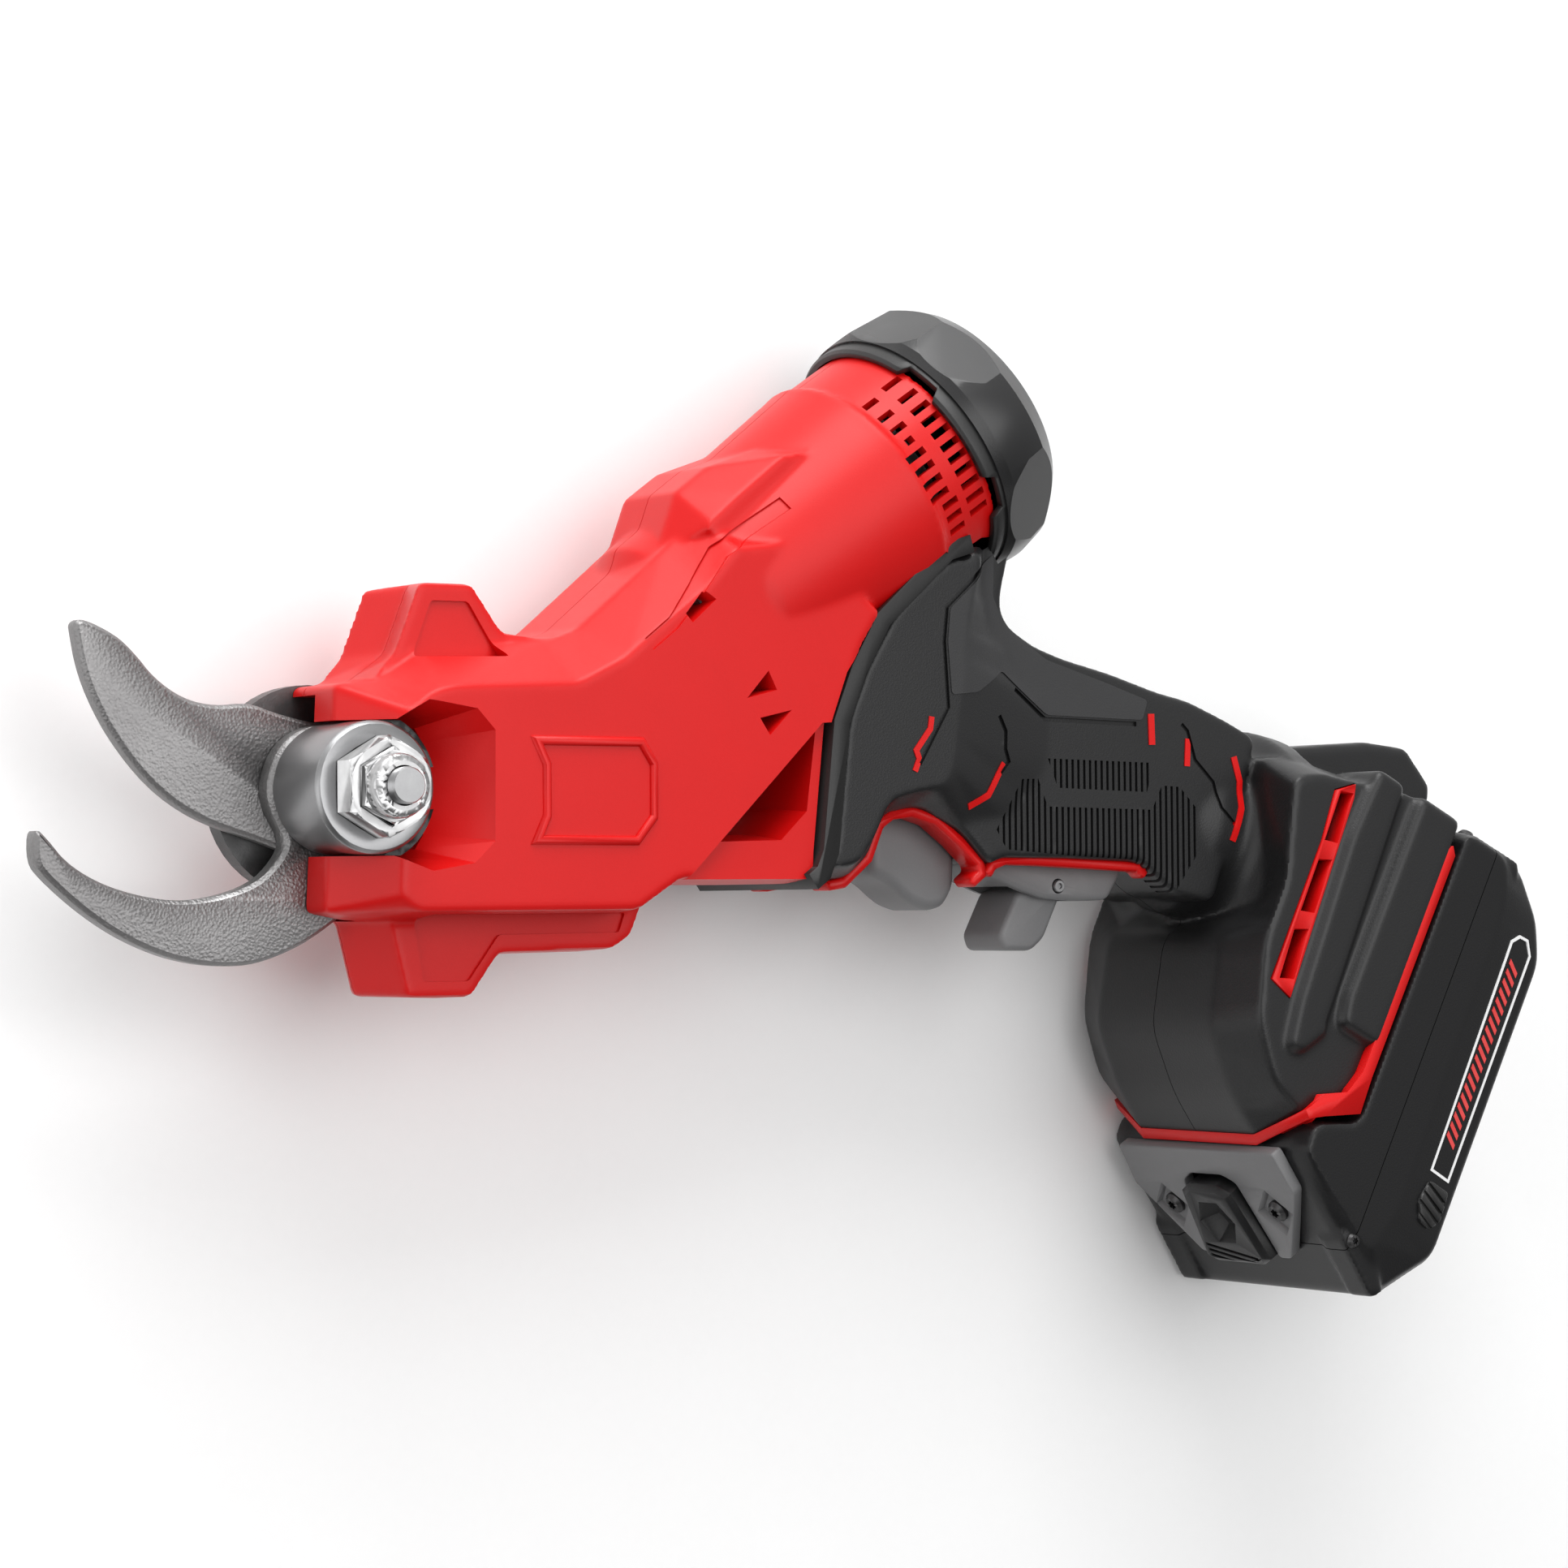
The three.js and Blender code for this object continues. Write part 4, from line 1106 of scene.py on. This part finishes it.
TRIGGER_RIM = [
    (121, -21.2), (125.6, -20.6), (132.4, -15), (135.7, -7.2), (139.2, -4.9), (145, -4.2), (151.6, -6.1),
    (158.2, -10.9), (164, -16), (164.6, -18.6), (161.4, -21),
]
PADDLE_RIM = [
    (166.2, -19), (167.6, -16.6), (171.4, -15.3), (180, -15.5), (190, -16), (210.6, -17), (213, -19.2)
]
for label, points, low in (("trigger", TRIGGER_RIM, 9.4), ("paddle", PADDLE_RIM, 11.7)):
    strip = bent_blade(points, 2.6, low, 16.6)
    for piece, name in zip(pair(strip), ("left", "right")):
        finish(piece, label + "_rim_" + name, "frame", red_plastic, edge=0.7)

# %% Seal between housing and grip
SEAM = [
    (111.5, -20.4), (114.3, -18.4), (116.4, -13.6), (119.6, 15.8), (124.4, 27.6), (131.4, 39.4),
    (149.8, 55.6), (156.4, 57.6),
]
bead = bent_blade(SEAM, 4.2, -25, 25)
bead = cut(bead, on_barrel(rod(29.2, 30, 139)))
finish(bead, "seam_bead", "frame", bead_black, edge=0.5)

# %% [markdown]
# ## Trigger, paddle and flip tab
# These are the grey mouldings that the fingers work. Their rims are well rounded, because a sharp one would
# hurt. Each rides on its own body, so that it moves when the joint does.

# %% Trigger
TRIGGER = [
    (138.4, -18.5), (144.1, -20.9), (148, -24), (150.9, -25.9), (155.3, -27.3), (159.5, -26.3),
    (162.6, -21.8), (163, -9), (158, -4.2), (143, -2.8), (138.4, -7),
]
trigger = slab(rounded(TRIGGER, 2.4), -8.7, 8.7, rim=2.6, steps=4)
finish(trigger, "trigger_moulding", "trigger", grey_plastic, ["trigger"])

# %% Paddle
PADDLE = [
    (167.2, -16.2), (171.5, -19.2), (179.5, -22.4), (186.5, -24.6), (197.4, -25.2), (205.5, -25),
    (210.8, -16.8), (210.8, -13), (172, -10.4), (168, -12),
]
PIN_X, PIN_Y = 190.6, -21.6
paddle = slab(rounded(PADDLE, 1.6), -11, 11, rim=1.8, steps=3)
tab_room = moved(rod(5.4, -8.4, 8.4), PIN_X, PIN_Y)
tab_bay = block(177.5, 196, -40, -20.6, -8.4, 8.4)
pin_hole = moved(rod(1.8, -20, 20), PIN_X, PIN_Y)
paddle = cut(paddle, tab_room, tab_bay, pin_hole)
finish(paddle, "paddle_moulding", "paddle", grey_plastic, ["paddle"])

# %% Flip tab and its pin
TAB = [
    (175.6, -33.2), (177, -36.8), (185.1, -36.9), (188.8, -34), (193.4, -24.8), (193.9, -21.5), (191, -18.6),
    (187.6, -20.4), (181, -23),
]
tab = cut(slab(rounded(TAB, 1.4), -8, 8, rim=1.4, steps=3), moved(rod(1.8, -20, 20), PIN_X, PIN_Y))
finish(tab, "flip_tab_moulding", "flip_tab", grey_plastic, ["flip_tab"])
pin = turned(
    [(0, -11.7), (1.2, -11.7), (1.5, -11.3), (1.5, 11.2), (1.3, 11.7), (0.7, 11.7), (0.6, 11.2), (0, 11.2)],
    32,
)
finish(moved(pin, PIN_X, PIN_Y), "tab_hinge_pin", "paddle", turned_steel, ["tab_pin"])

# %% [markdown]
# ## Vent strips and gasket
# A red strip with three windows is let into each flank of the foot, and a red band seals the foot against
# the battery. The band gets deeper at the front corner.

# %% Vent strips
WINDOWS = [
    [(1.5, -37.4), (0.4, -34), (13, -33.2), (14, -36.8)],
    [(19.4, -36.4), (17.9, -33), (31.4, -32.4), (32.6, -36)],
    [(37.8, -35.8), (36.1, -32.2), (48.4, -31), (50, -34.8)],
]
STRIP = [(1.9, -39.1), (-2.2, -34.2), (1, -33.2), (53, -29.9), (51.4, -36.9), (14.6, -37.5)]
for side, name in ((1, "left"), (-1, "right")):
    strip = slab(on_pack(STRIP), 29.5, 35.4)
    holes = [loft((on_pack(w), 29), (on_pack(w), 33), (on_pack(grown(w, 0.5)), 38)) for w in WINDOWS]
    strip = cut(strip, *holes)
    if side < 0:
        mirrored(strip)
    finish(
        strip, "vent_strip_" + name, "frame", red_plastic, ["vent_insert_" + name], edge=0.2
    )

# %% Gasket band
BAND_MID = [
    (291.8, -12.4), (289.4, -13.6), (262.2, -66.8), (258, -73), (247, -73), (243.2, -81.2), (240.4, -81.8),
    (241.2, -84.4), (245, -84.4), (248.4, -77.2), (261, -77), (264.8, -68.4), (292.4, -14.9),
]
BAND_SIDE = [
    (291.8, -12.4), (289.4, -13.6), (262.2, -66.8), (257, -71.6), (250, -71.8), (245.6, -74.6), (244, -75.4),
    (245, -77.6), (247, -77.4), (250, -77.2), (261, -77), (264.8, -68.4), (292.4, -14.9),
]
band = loft((BAND_SIDE, -37.4), (BAND_MID, -22), (BAND_MID, 22), (BAND_SIDE, 37.4))
band = cut(band, slab(on_pack([(3.5, -13.5), (120, -13.5), (120, 1.2), (3.5, 1.2)]), -28.5, 28.5))
band = cut(
    band,
    slab(on_pack([(-12, 0.95), (71.2, 0.95), (78, -11.9), (100, -11.9), (100, 60), (-12, 60)]), -60, 60),
)
finish(band, "foot_band", "frame", red_plastic, ["foot_gasket"], edge=0.25)

# %% [markdown]
# ## Battery
# Two black mouldings close round the cells. The flanks lean in towards the base in two steps, so the case
# is a stack of outlines at different depths. The printed label is a plain six-sided outline with a hatched
# bar.

# %% Battery case
PACK_FULL = [
    (-8.6, 1.2), (-8.6, 24), (0.5, 35.2), (10, 40), (90, 40), (107, 26.4), (92, -1.5), (85, -12.2),
    (77, -12.2), (71, 1.2),
]
PACK_STEP = [
    (-7.8, 1.2), (-7.8, 22.6), (1, 33), (10.4, 38.4), (89.4, 38.4), (105.4, 25), (91.4, -1), (84.6, -11.8),
    (77.2, -11.8), (71.2, 1.2),
]
PACK_FLANK = [
    (-7, 1.2), (-7, 15), (1, 19), (10, 20.5), (84, 21.5), (98, 18), (90, 0), (84, -11), (77.6, -11),
    (71.6, 1.2),
]
levels = [
    (rounded(on_pack(points), 3), z)
    for points, z in ((PACK_FLANK, 37.8), (PACK_STEP, 35), (PACK_FULL, 32.6))
]
case = loft(*[(o, -z) for o, z in levels], *[(o, z) for o, z in levels[::-1]])
cavity = slab(on_pack([(0, 8), (0, 30), (12, 33), (86, 33), (92, 24), (84, 8)]), -33, 33)
rail = slab(on_pack([(5, -12), (5, 2.5), (70, 2.5), (70, -12)]), -26, 26, rim=0.6)
contact_bay = slab(on_pack([(9, -30), (9, 4), (29, 4), (29, -30)]), -16, 16)

LATCH_ALONG = Vector((16, 26.5)).normalized()
LATCH_OUT = Vector((LATCH_ALONG.y, -LATCH_ALONG.x))
LATCH_TOP = Vector((86.2, -11.1))


def latch_outline(points):
    """Points given along the latch face and above it, as an outline in tool millimetres."""
    return on_pack([tuple(LATCH_TOP + LATCH_ALONG * a + LATCH_OUT * h) for a, h in points])


latch_bay = slab(latch_outline([(4, -12), (4, 6), (27.5, 6), (27.5, -12)]), -16, 16)
FRONT_LUG = [(93.5, 7.6), (98.6, 9.4), (107.4, 24), (104.4, 27), (95, 16)]
REAR_LUG = [(-8.4, 4), (-3.8, 3.6), (-4.6, 14), (-5, 22), (-8.6, 21)]
lugs = [
    part
    for points in (FRONT_LUG, REAR_LUG)
    for part in pair(slab(rounded(on_pack(points), 1), 28, 36.6, rim=0.6))
]
case = moulded(join(case, *lugs), 0.8, 3)
case = cut(join(cut(case, cavity), rail), contact_bay, latch_bay)
SPLIT = 12
upper_side = slab(on_pack([(-60, -60), (-60, SPLIT - 0.12), (160, SPLIT - 0.12), (160, -60)]), -80, 80)
lower_side = slab(on_pack([(-60, SPLIT + 0.12), (-60, 90), (160, 90), (160, SPLIT + 0.12)]), -80, 80)
finish(
    common(twin(case), upper_side), "battery_case_upper", "battery", black_plastic, ["battery_upper_case"],
)
finish(
    common(case, lower_side), "battery_case_lower", "battery", black_plastic, ["battery_lower_case"],
)


# %% Label and pad on the slanted face
def on_slant(obj, side):
    """Lays a flat piece, drawn with X down the slide and Y up the face, on the battery's slanted flank."""
    rise = Vector((17, -2.8)).normalized()
    p_axis = Vector((-math.sin(PACK_TILT), -math.cos(PACK_TILT), 0))
    q_axis = Vector((math.cos(PACK_TILT), -math.sin(PACK_TILT), 0))
    up = q_axis * rise.x + Vector((0, 0, rise.y))
    normal = q_axis * -rise.y + Vector((0, 0, rise.x))
    x0, y0 = pack_point(0, 21)
    place = Matrix.Translation((x0, y0, 37.8)) @ Matrix((p_axis, up, normal)).transposed().to_4x4()
    obj.data.transform(place)
    if side < 0:
        obj.data.transform(Matrix.Scale(-1, 4, (0, 0, 1)))
    if obj.data.polygons and (place.determinant() < 0) != (side < 0):
        obj.data.flip_normals()
    return obj


PAD = [(74.2, 7), (80, 5.6), (84.6, 8.4), (85, 12.6), (81.6, 15.4), (74.2, 14.6)]
LABEL = [(7.4, 7.6), (10, 5.2), (72, 6.2), (72, 14), (10.2, 14), (7, 11)]
for side, name in ((1, "left"), (-1, "right")):
    outer, inner = LABEL, grown(LABEL, -0.7)
    border = cut(slab(outer, -0.3, 0.22), slab(inner, -1, 1))
    finish(on_slant(border, side), "label_border_" + name, "battery", white_print)
    starts = [14 + 2.6 * i for i in range(19)]
    bars = [slab([(x, 7.4), (x + 1.3, 7.4), (x + 3.4, 11.4), (x + 2.1, 11.4)], -0.3, 0.2) for x in starts]
    hatch = join(bars[0], *bars[1:])
    finish(on_slant(hatch, side), "label_hatch_" + name, "battery", red_print)
    pad = slab(rounded(PAD, 1), -1, 0.9, rim=0.4)
    ridges = [
        slab([(x, 4), (x + 1, 4), (x + 4.4, 17), (x + 3.4, 17)], 0.3, 3) for x in (74, 76.6, 79.2, 81.8)
    ]
    pad = cut(pad, *ridges)
    finish(on_slant(pad, side), "side_pad_" + name, "battery", bead_black, edge=0.15)

# %% [markdown]
# ### Latch
# A grey plate screwed to the latch end frames the black release button. The button is a faceted block with
# a hollow for the thumb and slanting grip lines.

# %% Latch plate
def on_latch(obj):
    """Lays a piece drawn with its X down the latch face, Y across the tool and Z out of the face."""
    top = pack_point(*LATCH_TOP)
    along = Vector(pack_point(*(LATCH_TOP + LATCH_ALONG))) - Vector(top)
    out = Vector(pack_point(*(LATCH_TOP + LATCH_OUT))) - Vector(top)
    across = Vector((0, 0, 1))
    axes = Matrix((along.to_3d(), across, out.to_3d())).transposed().to_4x4()
    place = Matrix.Translation((*top, 0)) @ axes
    obj.data.transform(place)
    if place.determinant() < 0:
        obj.data.flip_normals()
    return obj


PLATE = [
    (-2.4, -30), (-2.4, 30), (9, 31), (29, 17), (29, 12.8), (7.2, 10), (5, 6), (5, -6), (7.2, -10),
    (29, -12.8), (29, -17), (9, -31),
]
plate = slab(rounded(PLATE, 1), -0.6, 2.9, rim=0.5)
POCKET = [(-4, -4), (4, -4), (4, 4), (-4, 4)]
SCREW_ALONG = 15.2
SCREW_OUT = 20
pockets = []
for y in (SCREW_OUT, -SCREW_OUT):
    pocket = loft((POCKET, 1.2), (grown(POCKET, 1.2), 4))
    pockets.append(moved(pocket, SCREW_ALONG, y, spin=45))
finish(
    on_latch(cut(plate, *pockets)), "latch_plate_moulding", "battery", grey_plastic, ["latch_plate"],
    edge=0.25,
)

# %% Release button
BUTTON = [(6.4, -5.4), (6.4, 5.4), (8.6, 9.4), (28, 12.2), (29.6, 9), (29.6, -9), (28, -12.2), (8.6, -9.4)]
button_low, button_high = BUTTON, grown(BUTTON, -1.6)
button = loft((button_low, -4.6), (button_low, 5), (button_high, 6.2))
thumb = moved(turned([(0, 1.6), (3.6, 2), (6.4, 5), (7.4, 8), (0, 8)], 6), 17, 0, spin=30)
grips = [slab([(x, -9), (x + 0.8, -9), (x + 4.4, 9), (x + 3.6, 9)], 5.5, 8) for x in (23.4, 25, 26.6)]
finish(
    on_latch(cut(button, thumb, *grips)), "release_button_moulding", "release_button", black_plastic,
    ["release_button"], edge=0.25,
)


# %% [markdown]
# ### Screws
# Every screw is the same round head with a six-lobed socket, at its own size. The battery has one on each
# side of the latch plate, two at the rear and one in each lug, and the housing has four on its right side.

# %% Screws
def torx_screw(radius, height):
    """A round-headed screw with a six-lobed socket."""
    head = turned(
        [(0, 0), (radius, 0), (radius, height * 0.45), (radius * 0.72, height * 0.9), (0, height)], 40
    )
    socket, floor_height = radius * 0.3, height * 0.35
    lobes = []
    for i in range(6):
        a = math.radians(60 * i)
        lobes.append(
            moved(rod(radius * 0.15, floor_height, 9, 12), socket * math.cos(a), socket * math.sin(a))
        )
    return cut(head, rod(socket, floor_height, 9, 24), *lobes)


for name, y in (("left", SCREW_OUT), ("right", -SCREW_OUT)):
    screw = moved(torx_screw(2.8, 1.9), SCREW_ALONG, y, 1.3)
    finish(
        on_latch(screw), "latch_torx_" + name, "battery", black_steel, ["latch_screw_" + name],
        sharp=25,
    )
    rear = torx_screw(2.1, 1.8)
    rear.data.transform(Matrix.Rotation(math.radians(90), 4, "Y"))
    face_turn = Matrix.Rotation(math.radians(90) - PACK_TILT, 4, "Z")
    rear.data.transform(Matrix.Translation((*pack_point(-8.8, 7), 1.5 * y)) @ face_turn)
    finish(rear, "pack_torx_" + name, "battery", black_steel, ["pack_screw_" + name], sharp=25)
for side, name in ((1, "left"), (-1, "right")):
    for label, where, out in (("front", (97.4, 12.4), 36.2), ("rear", (-5.9, 8.4), 36.2)):
        screw = moved(torx_screw(1.9, 1.4), *pack_point(*where), out)
        if side < 0:
            mirrored(screw)
        finish(screw, "lug_torx_" + label + "_" + name, "battery", black_steel, sharp=25)
for i, (x, y) in enumerate(((52, -20), (56, 25), (106, -15.5), (108, 16)), 1):
    screw = torx_screw(3, 2)
    screw.data.transform(Matrix.Translation((x, y, -26.2)) @ Matrix.Rotation(math.pi, 4, "X"))
    replaced = ["housing_screw_" + str(i)]
    finish(screw, "housing_torx_" + str(i), "frame", black_steel, replaced, sharp=25)

# %% [markdown]
# ## Camera, floor and light
# The camera looks from the front left and above, with a long lens, as for a catalogue page. Its place and
# its axes are given in the tool's own directions. The floor is a pale sheet. Large soft lights from the top
# and from behind the tool draw long highlights along it.

# %% Camera
camera_data = bpy.data.cameras.new("camera")
camera_data.lens = 102.5
camera_data.clip_end = 20
camera = bpy.data.objects.new("camera", camera_data)
bpy.context.scene.collection.objects.link(camera)
VIEWPOINT = Vector((-447.2, -26.4, 860.6))
right = Vector((0.8350, -0.0083, 0.5502)).normalized()
back = Vector((-0.5502, -0.0279, 0.8346)).normalized()
up = back.cross(right)
look = Matrix((right, up, back)).transposed().to_4x4()
camera.matrix_world = Matrix.Translation(TOOL @ VIEWPOINT) @ look
bpy.context.scene.camera = camera
print("camera", [round(v, 3) for v in camera.location])

# %% Floor
floor_mesh = bmesh.new()
bmesh.ops.create_grid(floor_mesh, x_segments=8, y_segments=8, size=6.0)
floor = as_object(floor_mesh)
floor.name = "floor"
FLOOR_GAP = 0.0005
floor.data.transform(Matrix.Translation((0, 0, cad_box[0].z - FLOOR_GAP)))
paper = finish_material(
    "pale paper", (0.93, 0.93, 0.93), (0.9, 0.9, 0.9), (0.93, 0.93, 0.93), rough=(0.6, 0.7), bump=0.05,
    grain_size=400.0,
)
floor.data.materials.append(paper)


# %% Lights
def soft_light(name, where, size, power, aim=(0, 0, 0.03)):
    data = bpy.data.lights.new(name, "AREA")
    data.shape = "SQUARE"
    data.size = size
    data.energy = power
    light = bpy.data.objects.new(name, data)
    light.location = where
    light.rotation_euler = (Vector(aim) - Vector(where)).to_track_quat("-Z", "Y").to_euler()
    bpy.context.scene.collection.objects.link(light)


soft_light("top edge light", (-0.1, 1.2, 0.55), 0.9, 14)
soft_light("overhead light", (0.1, 0.2, 1.5), 1.2, 10)
soft_light("front light", (-1.3, -0.1, 0.6), 0.9, 4)
soft_light("low fill", (0.2, -1.3, 0.6), 1.0, 2)
world = bpy.data.worlds.new("studio")
world.use_nodes = True
sky = world.node_tree
sky.nodes["Background"].inputs["Color"].default_value = (1, 1, 1, 1)
direction = add(sky, "ShaderNodeSeparateXYZ")
sky.links.new(add(sky, "ShaderNodeTexCoord").outputs["Generated"], direction.inputs["Vector"])
fade = add(sky, "ShaderNodeMapRange")
fade.inputs["From Min"].default_value = -0.6
fade.inputs["To Min"].default_value = 0.12
fade.inputs["To Max"].default_value = 1.1
sky.links.new(direction.outputs["Y"], fade.inputs["Value"])
sky.links.new(fade.outputs["Result"], sky.nodes["Background"].inputs["Strength"])
bpy.context.scene.world = world
bpy.context.scene.view_settings.view_transform = "Standard"

# %% Count the pieces and finish
print("pieces", len(made))
